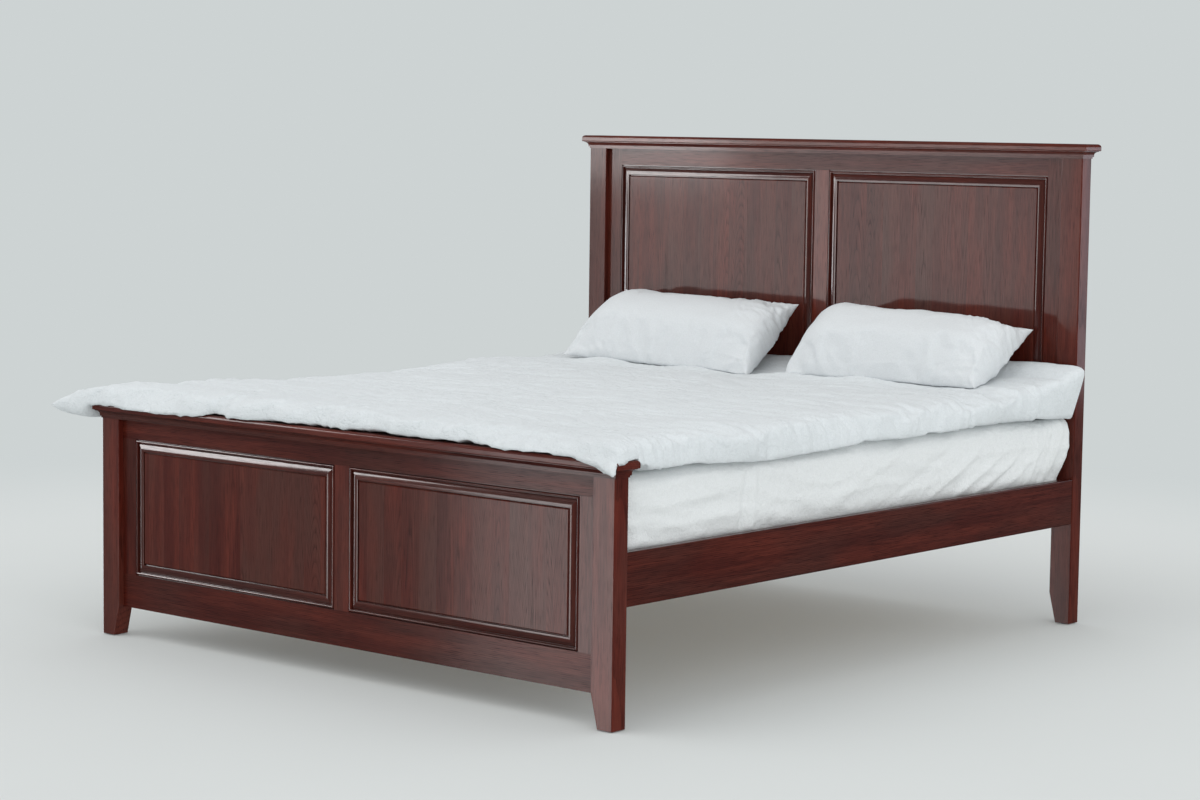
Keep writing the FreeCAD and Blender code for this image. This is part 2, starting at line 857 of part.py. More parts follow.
def cap_moulding(end):
    """The bed mould under a cap: a step, a band and a cove, mitred round the posts."""
    name = f"{end.name}_cap_moulding"
    step_top = dim("cap_step_height")
    step = block(f"{name}_step", *around(end, (as_size(0), step_top), dim("cap_step_proud")))
    band = block(f"{name}_band", *around(end, (step_top, cap_cove_low), dim("cap_band_proud")))
    crown = block(f"{name}_crown", *around(end, (cap_cove_low, cap_bed_height), cap_neck_proud))
    radius = dim("cap_cove_radius")
    reach = half_width + cap_neck_proud
    front = end.front - cap_neck_proud
    back = end.back + cap_neck_proud
    z = end.top + cap_cove_low
    coves = [rod(f"{name}_front_cove", radius, 2 * reach, (-reach, front, z), "+x"),
             rod(f"{name}_rear_cove", radius, 2 * reach, (-reach, back, z), "+x"),
             rod(f"{name}_left_cove", radius, back - front, (-reach, front, z), "+y"),
             rod(f"{name}_right_cove", radius, back - front, (reach, front, z), "+y")]
    crown_coved = cut(f"{name}_coved", crown, coves)
    keep(name, cut(name, fuse(f"{name}_blank", [step, band, crown_coved]), cap_bores[end.name]))


def cap(end):
    name = f"{end.name}_cap"
    x = (-half_width - dim("cap_end_proud"), half_width + dim("cap_end_proud"))
    y = (end.front - dim("cap_front_proud"), end.back + dim("cap_rear_proud"))
    z = (end.top + cap_bed_height, end.top + cap_height)
    board = block(f"{name}_board", x, y, z)
    top_round = rounded(f"{name}_top_round", board, dim("cap_top_round"), lies_at(2, z[1].number))
    low_round = rounded(f"{name}_low_round", top_round, dim("cap_bottom_round"),
                        lies_at(2, z[0].number))
    keep(name, cut(name, low_round, cap_bores[end.name]))


# ---------------------------------------------------------------- centre beam, leg and brackets

beam_ends = (foot.frame_back + dim("bracket_thick"), head.face - dim("bracket_thick"))
bracket_low = beam_low - dim("bracket_drop")
bracket_bores = {}


def beam_bracket(where, seat_y, way):
    """A steel hanger screwed to the end frame; its cheeks and floor hold the beam's end."""
    thick = dim("bracket_thick")
    play = dim("bracket_play")
    inner = beam_half + play
    outer = inner + thick
    name = f"beam_bracket_{where}"

    def inward(near, far):
        return (seat_y + near, seat_y + far) if way > 0 else (seat_y - far, seat_y - near)

    back = block(f"{name}_back", (-outer, outer), inward(as_size(0), thick),
                 (bracket_low, bracket_low + dim("bracket_height")))
    reach = inward(thick, thick + dim("bracket_reach"))
    floor = block(f"{name}_floor", (-outer, outer), reach, (beam_low - thick, beam_low))
    cheeks = [block(f"{name}_cheek_{side_name}", side_pair(side, inner, outer), reach,
                    (beam_low - thick, beam_low + dim("beam_height") / 2))
              for side_name, side in SIDES]
    screw_way = "-y" if way > 0 else "+y"
    face = seat_y + way * thick
    edge = dim("plate_screw_edge")
    heights = {"low": bracket_low + edge, "high": bracket_low + dim("bracket_height") - edge}
    bores = [fitting_screws.add_screw(f"{name}_screw_{level}", (as_size(0), face, z), screw_way,
                                      dim("plate_screw_length"))
             for level, z in heights.items()]
    bracket_bores[where] = bores
    keep(name, cut(name, fuse(f"{name}_blank", [back, floor] + cheeks), bores))


beam_bracket("foot", foot.frame_back, 1)
beam_bracket("head", head.face, -1)

leg_bolt_bore = fitting_screws.add_dowel("leg_bolt", (as_size(0), as_size(0), beam_low), "+z",
                                         dim("leg_bolt_length"), dim("leg_bolt_radius"))
beam_blank = block("centre_beam_bar", (-beam_half, beam_half), beam_ends, (beam_low, slat_low))
keep("centre_beam", cut("centre_beam", beam_blank, [leg_bolt_bore]))
leg_body, leg_pad = padded_body("centre_leg_blank", "XY_Plane",
                                rectangle(dim("leg_width"), dim("leg_width")),
                                beam_low - dim("glide_height"))
round_body(leg_body, leg_pad, dim("leg_round"), runs_along(2))
place(leg_body, -leg_half, -leg_half, dim("glide_height"))
keep("centre_leg", cut("centre_leg", leg_body, [leg_bolt_bore]))

for end in ENDS:
    make_rail = headboard_rail if end.stiles_run_through else footboard_rail
    for which, z in rail_spans(end).items():
        make_rail(end, which, z)
    middle_stile(end)
    for side_name, side in SIDES:
        outer_stile(end, side_name, side)
        panel(end, side_name, side)
        moulding(end, side_name, side)
    cap_moulding(end)
    cap(end)


# ---------------------------------------------------------------- glides

post_foot_middle = half_width - dim("taper_width") / 2
post_middle_y = half_length - dim("post_depth") / 2
glide_places = [(side * post_foot_middle, way * post_middle_y) for _, side in SIDES for way in (-1, 1)]
glide_places.append((as_size(0), as_size(0)))
keep("floor_glides", group("floor_glides", [
    rod(f"floor_glide_{i}", dim("glide_radius"), dim("glide_height"), (x, y, as_size(0)), "+z")
    for i, (x, y) in enumerate(glide_places, start=1)]))


# ---------------------------------------------------------------- side rails, ledgers and slats

slat_count = int(sheet.get("slat_count"))
first_slat = -rail_end + dim("slat_end_space") + dim("slat_width") / 2
slat_pitch = (2 * rail_end - 2 * dim("slat_end_space") - dim("slat_width")) / (slat_count - 1)
slat_places = [first_slat + slat_pitch * i for i in range(slat_count)]
ledger_inner = rail_inner - dim("ledger_width")
ledger_middle = rail_inner - dim("ledger_width") / 2
ledger_middle_z = ledger_low + dim("ledger_height") / 2

for side_name, side in SIDES:
    rail_bores = []
    for i in range(0, slat_count - 1, 2):
        y = (slat_places[i] + slat_places[i + 1]) / 2
        rail_bores.append(ledger_screws.add_screw(
            f"ledger_screw_{side_name}_{i}", (side * ledger_inner, y, ledger_middle_z),
            "+x" if side > 0 else "-x", dim("ledger_screw_length")))
    slat_bores = [slat_screws.add_screw(f"slat_screw_{side_name}_{i}",
                                        (side * ledger_middle, y, dim("mattress_seat")), "-z",
                                        dim("slat_screw_length"))
                  for i, y in enumerate(slat_places, start=1)]
    name = f"side_rail_{side_name}"
    body, pad = padded_body(f"{name}_blank", "XZ_Plane",
                            rectangle(dim("rail_thick"), dim("rail_height")), 2 * rail_end,
                            reverse=True)
    round_body(body, pad, dim("rail_round"), runs_along(1))
    place(body, side_pair(side, rail_inner, rail_outer)[0], -rail_end, dim("rail_low"))
    keep(name, cut(name, body, rail_recesses[side] + rail_bores))
    ledger_y = (-rail_end + dim("ledger_end_gap"), rail_end - dim("ledger_end_gap"))
    ledger = block(f"ledger_{side_name}_bar", side_pair(side, ledger_inner, rail_inner), ledger_y,
                   (ledger_low, slat_low))
    keep(f"slat_ledger_{side_name}", cut(f"slat_ledger_{side_name}", ledger, rail_bores + slat_bores))

slat_reach = rail_inner - dim("slat_play")
for i, y in enumerate(slat_places, start=1):
    name = f"slat_{i:02d}"
    body, pad = padded_body(f"{name}_blank", "XY_Plane", rectangle(2 * slat_reach, dim("slat_width")),
                            dim("slat_thick"))
    round_body(body, pad, dim("slat_round"), runs_along(0))
    place(body, -slat_reach, y - dim("slat_width") / 2, slat_low)
    ends = [slat_screws.bores[i - 1], slat_screws.bores[slat_count + i - 1]]
    keep(name, cut(name, body, ends))

keep("dowels", group("dowels", dowels.solids))
keep("fitting_screws", group("fitting_screws", fitting_screws.solids))
keep("ledger_screws", group("ledger_screws", ledger_screws.solids))
keep("slat_screws", group("slat_screws", slat_screws.solids))


# ---------------------------------------------------------------- mattress

mattress_half = rail_inner - dim("mattress_side_gap")
mattress_width = mattress_half * 2
mattress_low = dim("mattress_seat") + dim("soft_gap")
mattress_foot = foot.back + dim("cap_rear_proud") + dim("mattress_foot_gap")
mattress_head = head.front - dim("mattress_head_gap")
mattress_length = mattress_head - mattress_foot
mattress_top = mattress_low + dim("mattress_thick")
body, pad = padded_body("mattress", "XY_Plane",
                        rectangle(mattress_width, mattress_length), dim("mattress_thick"))
corners = round_body(body, pad, dim("mattress_corner"), runs_along(2), "corners")
top_and_bottom = [i for z in (0, dim("mattress_thick").number)
                  for i in edge_numbers(corners.Shape, lies_at(2, z))]
edges = body.newObject("PartDesign::Fillet", "mattress_edges")
edges.Base = (corners, [f"Edge{i}" for i in top_and_bottom])
bind(edges, "Radius", dim("mattress_round"))
place(body, -mattress_half, mattress_foot, mattress_low)
keep("mattress", body)


# ---------------------------------------------------------------- lofted soft pieces

def arc_edge(start, end, bulge):
    """An arc from start to end whose middle stands off their chord by bulge, to its left."""
    chord = end - start
    normal = FreeCAD.Vector(0, -chord.z, chord.y)
    if abs(chord.x) > 1e-9:
        normal = FreeCAD.Vector(-chord.z, 0, chord.x)
    middle = (start + end) * 0.5 + normal.normalize() * bulge
    return Part.Arc(start, middle, end).toShape()


def soft_feature(name, shape):
    feature = doc.addObject("Part::Feature", name)
    feature.Shape = shape
    return feature


def mm(alias):
    return float(sheet.get(alias))


def pillow_solid():
    """A filled pillow on its seam plane: a high crown, a flatter belly, sides that draw in."""
    half = mm("pillow_length") / 2
    stations = 11
    sections = []
    for i in range(stations):
        along = -math.cos(math.pi * i / (stations - 1))
        fullness = math.sqrt(max(0.0, 1 - abs(along) ** 3))
        edge = mm("pillow_edge")
        crown = edge + (mm("pillow_crown") - edge) * fullness
        belly = edge + (mm("pillow_belly") - edge) * fullness
        half_wide = mm("pillow_width") / 2 - mm("pillow_waist") * (1 - along ** 2)
        x = along * half
        low = FreeCAD.Vector(x, -half_wide, 0)
        high = FreeCAD.Vector(x, half_wide, 0)
        over = Part.Arc(low, FreeCAD.Vector(x, 0, crown), high).toShape()
        under = Part.Arc(high, FreeCAD.Vector(x, 0, -belly), low).toShape()
        sections.append(Part.Wire([over, under]))
    solid = Part.makeLoft(sections, True, False)
    waist = mm("pillow_waist")
    side_radius = (mm("pillow_width") ** 2 / 4 + waist ** 2) / (2 * waist)
    for way in (-1, 1):
        centre = FreeCAD.Vector(way * (half + side_radius - waist), 0, -half)
        hollow = Part.makeCylinder(side_radius, 2 * half, centre, FreeCAD.Vector(0, 0, 1))
        solid = solid.cut(hollow)
    return solid


class DuvetSection:
    """One cross-section of the duvet, seen from the foot: left tip, over the top, right hem.

    left and right are (x, z). The top stands at five places, from the left shoulder to the right
    one, each so many ripples off the level. under is the height of the underside.
    """

    def __init__(self, y, left, level, ripples, right, under):
        ripple = mm("duvet_ripple")
        shoulder = mattress_half.number - mm("duvet_shoulder_inset")
        bearing = mattress_half.number - mm("duvet_bearing_inset")
        places = [share * shoulder for share in (-1, -0.5, 0, 0.5, 1)]
        tops = [level + ripple * count for count in ripples]
        edge, hem = right
        tuck = edge - mm("duvet_hem_tuck")
        self.y = y
        self.over = [left, *zip(places, tops), (edge, (tops[-1] + hem) / 2), (tuck, hem)]
        self.below = [(tuck - mm("duvet_hem_width"), hem + ripple), (bearing, under), (-bearing, under)]

    def wire(self):
        over = [FreeCAD.Vector(x, self.y, z) for x, z in self.over]
        below = [FreeCAD.Vector(x, self.y, z) for x, z in self.below]
        edges = [arc_edge(a, b, mm("duvet_swell") * (b - a).Length) for a, b in zip(over, over[1:])]
        path = [over[-1]] + below + [over[0]]
        edges += [Part.LineSegment(a, b).toShape() for a, b in zip(path, path[1:])]
        return Part.Wire(edges)


cap_front = (foot.front - dim("cap_front_proud")).number
cap_rear = (foot.back + dim("cap_rear_proud")).number
cap_top = (foot.top + cap_height).number
cap_side = (half_width + dim("cap_end_proud")).number


def duvet_loft():
    """A thick duvet that laps the foot cap, hangs a little at the sides and rises at the head."""
    top = mattress_top.number
    lying = top + mm("duvet_thick")
    front = cap_front - mm("duvet_front_lap")
    rear = head.front.number - mm("duvet_head_gap")
    seat = cap_rear + mm("duvet_seat_slope")
    right = mattress_half.number + mm("duvet_right_hang")
    left = -mattress_half.number - mm("duvet_left_hang")
    tip = left - mm("duvet_corner_reach")
    hem = mm("duvet_hem_height")
    lap = cap_top - mm("duvet_cap_sink")
    one = mm("duvet_ripple")
    sunk = top - 4 * one

    def along(share):
        return seat + share * (rear - seat)

    sections = [
        DuvetSection(front, (tip + 10 * one, lap + one), lap, (10, 9, 8, 9, 8),
                     (cap_side - one, lap - 2 * one), lap - one),
        DuvetSection(front + mm("duvet_front_rise"), (tip, lap - 4 * one), lap, (22, 20, 19, 21, 18),
                     (cap_side + one, lap - 2 * one), lap - 2 * one),
        DuvetSection(front + mm("duvet_front_slope"), (tip + 3 * one, lap - 5 * one), lying,
                     (-2, -4, -5, -3, -7), (cap_side, lap + 2 * one), lap - 2 * one),
        DuvetSection(cap_rear + mm("duvet_cap_slope"), (tip + 30 * one, lap - 7 * one), lying,
                     (2, 0, -1, 1, -4), (right + 6 * one, hem + 8 * one), lap - 3 * one),
        DuvetSection(seat, (left - 30 * one, hem + 6 * one), lying, (2, -1, 0, 1, -3),
                     (right, hem + 2 * one), sunk),
        DuvetSection(along(0.14), (left - 10 * one, hem), lying, (-13, -3, 1, 0, -2),
                     (right - 2 * one, hem - 2 * one), sunk),
        DuvetSection(along(0.32), (left - 3 * one, hem), lying, (-5, -1, -1, 2, 0), (right, hem), sunk),
        DuvetSection(along(0.50), (left, hem), lying, (-7, -2, 0, -1, -2),
                     (right + 2 * one, hem + 3 * one), sunk),
        DuvetSection(along(0.68), (left, hem), lying, (-5, -3, 1, -2, 0), (right, hem + one), sunk),
        DuvetSection(along(0.84), (left, hem + 2 * one), lying, (-4, -2, 1, -3, 3),
                     (right + one, hem + 4 * one), sunk),
        DuvetSection(along(0.92), (left + 2 * one, hem + 4 * one), lying, (8, 10, 13, 6, 13),
                     (right + 3 * one, hem + 2 * one), sunk),
        DuvetSection(rear, (left + 5 * one, hem + 6 * one), lying, (26, 28, 27, 29, 31),
                     (right + 4 * one, hem - 2 * one), sunk),
    ]
    return Part.makeLoft([section.wire() for section in sections], True, False)


def room(half_across, near, far, high):
    """A block on the floor that keeps what stands in it clear of the duvet, by the soft gap."""
    gap = mm("soft_gap")
    corner = FreeCAD.Vector(-half_across - gap, near - gap, 0)
    return Part.makeBox(2 * (half_across + gap), far - near + 2 * gap, high + gap, corner)


def duvet_solid():
    """The duvet's loft, hollowed where the mattress and the foot cap are."""
    loft = duvet_loft()
    loft = loft.cut(room(mattress_half.number, mattress_foot.number, mattress_head.number,
                         mattress_top.number))
    return loft.cut(room(cap_side, cap_front, cap_rear, cap_top))


duvet = soft_feature("duvet", duvet_solid())
keep("duvet", duvet)


def settle(shape, carrier, gap):
    """Lowers the shape until only the gap is left above its carrier."""
    for _ in range(40):
        distance = shape.distToShape(carrier)[0]
        if distance - gap < 0.02:
            break
        shape.translate(FreeCAD.Vector(0, 0, gap - distance))
    return shape


pillow_tilt = mm("pillow_tilt")
for side_name, side in SIDES:
    turn = FreeCAD.Rotation(FreeCAD.Vector(1, 0, 0), pillow_tilt)
    rise = mm("pillow_width") / 2 * math.cos(math.radians(pillow_tilt))
    x = side * mm("pillow_spread") / 2 + mm("pillow_shift")
    y = head.front.number - mm("pillow_head_gap") - rise
    shape = pillow_solid()
    shape.Placement = FreeCAD.Placement(FreeCAD.Vector(x, y, head.top.number), turn)
    pillow = soft_feature(f"pillow_{side_name}", settle(shape, duvet.Shape, mm("soft_gap")))
    keep(f"pillow_{side_name}", pillow)


# ---------------------------------------------------------------- test and write

doc.recompute()
for item in doc.Objects:
    if "Invalid" in item.State or "Error" in item.State:
        raise RuntimeError(f"{item.Name} is {item.State}")
for name, item in nodes.items():
    if item.Shape.isNull() or not item.Shape.isValid():
        raise RuntimeError(f"{name} has no valid shape")

os.makedirs("parts", exist_ok=True)
for name, item in nodes.items():
    item.Shape.exportStep(f"parts/{name}.step")
print(f"{len(nodes)} pieces, {sum(len(item.Shape.Solids) for item in nodes.values())} solids")
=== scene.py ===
# %% [markdown]
# # A panel bed in stained oak
#
# This notebook dresses a bed that was built in CAD: two posts, rails, stiles and raised panels at
# each end, side rails with slats between them, a mattress, a duvet and two pillows. The CAD parts
# keep their shapes. Here they get their finishes, the soft pieces get their real forms, and a
# camera and lights are set up as in a photographer's studio.
#
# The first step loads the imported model. Lengths are in metres, apart from the tables of the
# duvet's lines, which are in millimetres. The frame is the CAD's: +X is the bed's right side seen
# from its foot, -Y the foot, +Z up.

import math
import random

import bpy
import numpy as np
from mathutils import Matrix, Vector, noise


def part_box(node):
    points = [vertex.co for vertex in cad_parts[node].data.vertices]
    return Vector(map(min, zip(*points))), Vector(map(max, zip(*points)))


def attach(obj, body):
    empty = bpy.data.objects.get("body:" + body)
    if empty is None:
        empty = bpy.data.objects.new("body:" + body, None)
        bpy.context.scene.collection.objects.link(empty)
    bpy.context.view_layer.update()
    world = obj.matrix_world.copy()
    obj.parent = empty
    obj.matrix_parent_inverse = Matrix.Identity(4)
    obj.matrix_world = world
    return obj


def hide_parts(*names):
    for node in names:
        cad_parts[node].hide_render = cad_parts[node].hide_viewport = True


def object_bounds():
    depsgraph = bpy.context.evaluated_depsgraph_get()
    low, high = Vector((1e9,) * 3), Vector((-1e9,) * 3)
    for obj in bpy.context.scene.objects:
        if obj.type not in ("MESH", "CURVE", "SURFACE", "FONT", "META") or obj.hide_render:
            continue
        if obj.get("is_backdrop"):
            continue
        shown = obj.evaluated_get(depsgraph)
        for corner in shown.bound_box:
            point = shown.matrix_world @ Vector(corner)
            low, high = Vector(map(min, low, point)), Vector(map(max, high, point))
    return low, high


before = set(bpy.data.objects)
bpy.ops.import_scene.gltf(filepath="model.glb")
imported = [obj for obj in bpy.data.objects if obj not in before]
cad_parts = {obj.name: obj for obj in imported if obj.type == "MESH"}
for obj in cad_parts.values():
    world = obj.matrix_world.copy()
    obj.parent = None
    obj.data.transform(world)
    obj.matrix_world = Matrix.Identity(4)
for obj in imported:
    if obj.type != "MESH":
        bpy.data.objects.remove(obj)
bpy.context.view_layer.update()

# %% [markdown]
# ## Camera
#
# The bed is seen from its foot and right side with a long lens, a little above the pillows. The
# lens and the three angles were solved from the corners of the posts and caps, so the camera is
# placed by its position and its yaw, pitch and roll, rather than by a Track To constraint, which
# would lose the small roll.

# %% Camera
SENSOR_WIDTH = 36.0
LENS = 85.25
CAMERA_PLACE = Vector((5.2484, -6.1522, 1.4546))
YAW = math.radians(40.568)
PITCH_DOWN = math.radians(5.607)
ROLL = math.radians(0.783)


def show(thing):
    bpy.context.scene.collection.objects.link(thing)
    return thing


def make_camera():
    data = bpy.data.cameras.new("studio_camera")
    data.sensor_width = SENSOR_WIDTH
    data.sensor_fit = "HORIZONTAL"
    data.lens = LENS
    camera = show(bpy.data.objects.new("studio_camera", data))
    turns = ((YAW, "Z"), (math.pi / 2 - PITCH_DOWN, "X"), (ROLL, "Z"))
    camera.matrix_world = Matrix.Translation(CAMERA_PLACE)
    for angle, axis in turns:
        camera.matrix_world = camera.matrix_world @ Matrix.Rotation(angle, 4, axis)
    bpy.context.scene.camera = camera
    return camera


camera = make_camera()
print("camera", [round(v, 2) for v in camera.location], "lens", camera.data.lens)

# %% [markdown]
# ## Shader arithmetic
#
# A finish is a network of nodes. Clicking the network together is fine for one material, but a
# grain that is worked out from growth rings needs dozens of Math nodes. So one small class wraps
# a socket, and `ring * 0.5 + 1` then adds the Multiply and the Add node. A second class holds
# the material and makes any other node through one method.

# %% Sockets as numbers
def both_ways(operation):
    """An operator for a wire on its left, and its reflected form for one on its right."""
    return (lambda self, other: self.maths(operation, self, other),
            lambda self, other: self.maths(operation, other, self))


def alone(operation):
    """A Math node of one value, as a method."""
    return lambda self: self.maths(operation, self)


class Wire:
    """One output of a material's node. Arithmetic on it adds Math nodes."""

    def __init__(self, finish, socket):
        self.finish = finish
        self.socket = socket

    def maths(self, operation, *values):
        inputs = dict(enumerate(values))
        return self.finish.node("ShaderNodeMath", {"operation": operation}, inputs)

    __add__, __radd__ = both_ways("ADD")
    __sub__, __rsub__ = both_ways("SUBTRACT")
    __mul__, __rmul__ = both_ways("MULTIPLY")
    __truediv__, __rtruediv__ = both_ways("DIVIDE")
    __pow__, __rpow__ = both_ways("POWER")

    floor = alone("FLOOR")
    fraction = alone("FRACT")
    size = alone("ABSOLUTE")
    sine = alone("SINE")

    def over(self, edge):
        """1 where the value is above the edge, and 0 elsewhere."""
        return self.maths("GREATER_THAN", self, edge)

    def between(self, low, high, start=0.0, end=1.0):
        """The value's place between low and high, held there, as a number from start to end."""
        inputs = {"Value": self, "From Min": low, "From Max": high, "To Min": start, "To Max": end}
        return self.finish.node("ShaderNodeMapRange", {"interpolation_type": "SMOOTHSTEP"}, inputs)


class Finish:
    """A material whose nodes are made in code."""

    def __init__(self, name, **shader_values):
        self.material = bpy.data.materials.new(name)
        self.material.use_nodes = True
        self.tree = self.material.node_tree
        self.tree.nodes.clear()
        self.shader = self.tree.nodes.new("ShaderNodeBsdfPrincipled")
        output = self.tree.nodes.new("ShaderNodeOutputMaterial")
        self.tree.links.new(self.shader.outputs[0], output.inputs["Surface"])
        self.set(**shader_values)

    def plug(self, socket, value):
        if isinstance(value, Wire):
            self.tree.links.new(value.socket, socket)
        else:
            socket.default_value = value

    def node(self, kind, settings=None, inputs=None, output=None):
        """A node of that kind: its settings first, then its sockets by name or number."""
        made = self.tree.nodes.new(kind)
        for key, value in (settings or {}).items():
            setattr(made, key, value)
        for key, value in (inputs or {}).items():
            sockets = [s for s in made.inputs if s.enabled]
            socket = sockets[key] if isinstance(key, int) else next(s for s in sockets if s.name == key)
            self.plug(socket, value)
        outputs = [s for s in made.outputs if s.enabled]
        wanted = outputs[0] if output is None else next(s for s in outputs if s.name == output)
        return Wire(self, wanted)

    def set(self, **values):
        """Sets the shader's sockets, written with _ for a space: base_color=(...)."""
        for key, value in values.items():
            name = key.replace("_", " ").title().replace("Ior", "IOR")
            self.plug(self.shader.inputs[name], value)

    def place(self):
        """Where a point of the piece lies in the bed's frame: its x, y and z."""
        here = self.node("ShaderNodeTexCoord", output="Object")
        parts = self.tree.nodes.new("ShaderNodeSeparateXYZ")
        self.tree.links.new(here.socket, parts.inputs[0])
        return [Wire(self, s) for s in parts.outputs]

    def vector(self, x, y, z):
        return self.node("ShaderNodeCombineXYZ", inputs={"X": x, "Y": y, "Z": z})

    def noise(self, vector, detail=2.0, roughness=0.5):
        """Cloudy noise, about 0.5 on average, at one cycle per unit of the vector."""
        inputs = {"Vector": vector, "Scale": 1.0, "Detail": detail, "Roughness": roughness}
        return self.node("ShaderNodeTexNoise", None, inputs)

    def specks(self, place, cycles, detail=2.0, roughness=0.5):
        """Noise at that many cycles per metre along each of the three ways."""
        return self.noise(self.vector(*[p * c for p, c in zip(place, cycles)]), detail, roughness)

    def chance(self, number):
        """A random value from 0 to 1 that stays the same for the same number."""
        return self.node("ShaderNodeTexWhiteNoise", {"noise_dimensions": "1D"}, {"W": number}, "Value")

    def blend(self, mask, first, second, mode="MIX"):
        """The first colour where the mask is 0, the second where it is 1."""
        settings = {"data_type": "RGBA", "blend_type": mode}
        return self.node("ShaderNodeMix", settings, {"Factor": mask, "A": first, "B": second})

    def fade_to(self, tone, mask):
        """Replaces the shader by an even glow of that tone where the mask is 1."""
        output = self.tree.nodes["Material Output"]
        glow = self.node("ShaderNodeEmission", None, {"Color": tone, "Strength": 1.0})
        inputs = {0: mask, 1: Wire(self, self.shader.outputs[0]), 2: glow}
        self.tree.links.new(self.node("ShaderNodeMixShader", None, inputs).socket, output.inputs[0])

    def bump(self, height, distance, strength=1.0):
        inputs = {"Height": height, "Distance": distance, "Strength": strength}
        self.set(normal=self.node("ShaderNodeBump", None, inputs))


print("shader arithmetic ready")

# %% [markdown]
# ## Stained oak
#
# Oak shows two things at once. A board is sawn from a trunk whose growth rings are long cones,
# so a flat-sawn face cuts them in arches, and each ring starts with a row of open pores that show
# as short dark strokes along the grain. A photo texture would repeat and stretch here, so the
# rings are worked out in three dimensions: the distance from the trunk's heart, with a slope
# along it, divided by the ring spacing. The panels are glued up from staves, so each stave
# gets its own heart and its own shade of the stain.

# %% Stained oak
GRAIN_AXES = {"x": (0, 2, 1), "y": (1, 2, 0), "z": (2, 0, 1)}
STAVE_WIDTH = 0.062
RING_SPACING = 0.0045
TRUNK_LENGTH = 6.0
TRUNK_TAPER = 0.010
OAK_DEEP = (0.016, 0.0035, 0.0030, 1)
OAK_MIDDLE = (0.078, 0.0115, 0.0070, 1)
OAK_LIGHT = (0.128, 0.0220, 0.0125, 1)
OAK_BROWN = (0.074, 0.0250, 0.0185, 1)
LACQUER = {"coat_roughness": 0.10, "specular_ior_level": 0.03}
COAT = 0.52
RAIL_COAT = 0.34
PANEL_COATS = (0.36, 0.42)


def oak_figure(finish, along, across, depth, seed, staves, tone, coat):
    """Adds the oak's rings and pores to the finish, and its satin lacquer.

    Depth is measured from the middle of the board.
    """
    draw = random.Random(seed)
    start = along + draw.random() * TRUNK_LENGTH
    if staves:
        count = across / STAVE_WIDTH + draw.random()
        stave = count.floor() + seed * 17.0
        luck = finish.chance(stave)
        turn = finish.chance(stave + 0.37)
        side = (count.fraction() - 0.5 + (turn - 0.5) * 3.0) * STAVE_WIDTH
        start = start + luck * TRUNK_LENGTH
        slope = TRUNK_TAPER + finish.chance(stave + 0.71) ** 3.0 * 0.13
        deep = depth + 0.018 + finish.chance(stave + 0.53) * 0.03
    else:
        luck = draw.random()
        side = across + draw.uniform(0.04, 0.10)
        slope = TRUNK_TAPER
        deep = depth + draw.uniform(0.03, 0.06)
    grain = (start, across, depth)
    drift = finish.specks(grain, (0.6, 9, 9), 1)
    waver = finish.specks(grain, (3, 55, 55), 1)
    radius = (side * side + deep * deep) ** 0.5 + (drift - 0.5) * 0.008 + (waver - 0.5) * 0.0012
    ring = ((radius + start * slope) / RING_SPACING).fraction()
    early = (1 - ring) ** 2.0
    strokes = finish.specks(grain, (22, 520, 520), 2, 0.6)
    fine = finish.specks(grain, (9, 330, 330), 2, 0.7)
    pores = strokes.between(0.50, 0.66) * early.between(0.02, 0.75, 0.35, 1.0)
    clouds = finish.noise(finish.vector(start * 1.6 + 3.0, across * 24.0, depth * 24.0), 3.0, 0.6)
    patches = finish.noise(finish.vector(start * 2.3 + 9.0, across * 9.0, depth * 9.0), 2.0)
    body = finish.blend(clouds.between(0.36, 0.66), OAK_MIDDLE, OAK_LIGHT)
    brown = patches.between(0.38, 0.66, 0.0, 0.55)
    if staves:
        brown = brown + luck.between(0.35, 0.95, 0.0, 0.5)
    body = finish.blend(brown, body, OAK_BROWN)
    body = finish.blend(early.between(0.2, 1.0, 0.0, 0.30), body, OAK_DEEP)
    body = finish.blend(pores * 0.7, body, OAK_DEEP)
    # tone makes the stain lighter or darker for each piece and end; part of that is painted light and
    # shade
    shade = (luck * 0.30 + 0.85) * tone + (fine - 0.5) * 0.9
    body = finish.blend(1.0, body, finish.vector(shade, shade, shade), "MULTIPLY")
    finish.set(base_color=body, roughness=0.45 + pores * 0.2 + (clouds - 0.5) * 0.10)
    finish.set(coat_weight=coat * (1.10 - pores * 0.5 - early * 0.12 + (fine - 0.5) * 0.4))
    finish.bump(0.5 * fine - pores - early * 0.2, 0.00025, 0.4)


def make_oak(name, piece, grain, seed, tone=1.0, coat=COAT, staves=False):
    """Oak for a board that lies as the named piece does."""
    finish = Finish(name, **LACQUER)
    place = finish.place()
    low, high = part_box(piece)
    level = (low + high) / 2
    along, across, depth = [place[i] for i in GRAIN_AXES[grain]]
    oak_figure(finish, along, across, depth - level[GRAIN_AXES[grain][2]], seed, staves, tone, coat)
    return finish


def make_moulding_oak(name, seed, middle, half_width, half_height):
    """Oak for a mitred frame: the grain turns at the mitre from rail to stile."""
    finish = Finish(name, **LACQUER)
    x, y, z = finish.place()
    off_x = (x - middle.x).size()
    off_z = (z - middle.z).size()
    upright = (off_x - off_z).over(half_width - half_height)
    along = upright * z + (1 - upright) * x
    across = upright * x + (1 - upright) * z
    oak_figure(finish, along, across, y - middle.y, seed, False, 0.75, 1.0)
    return finish


def give(node, finish):
    """Puts a finish on a CAD node."""
    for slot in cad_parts[node].material_slots:
        slot.material = finish.material
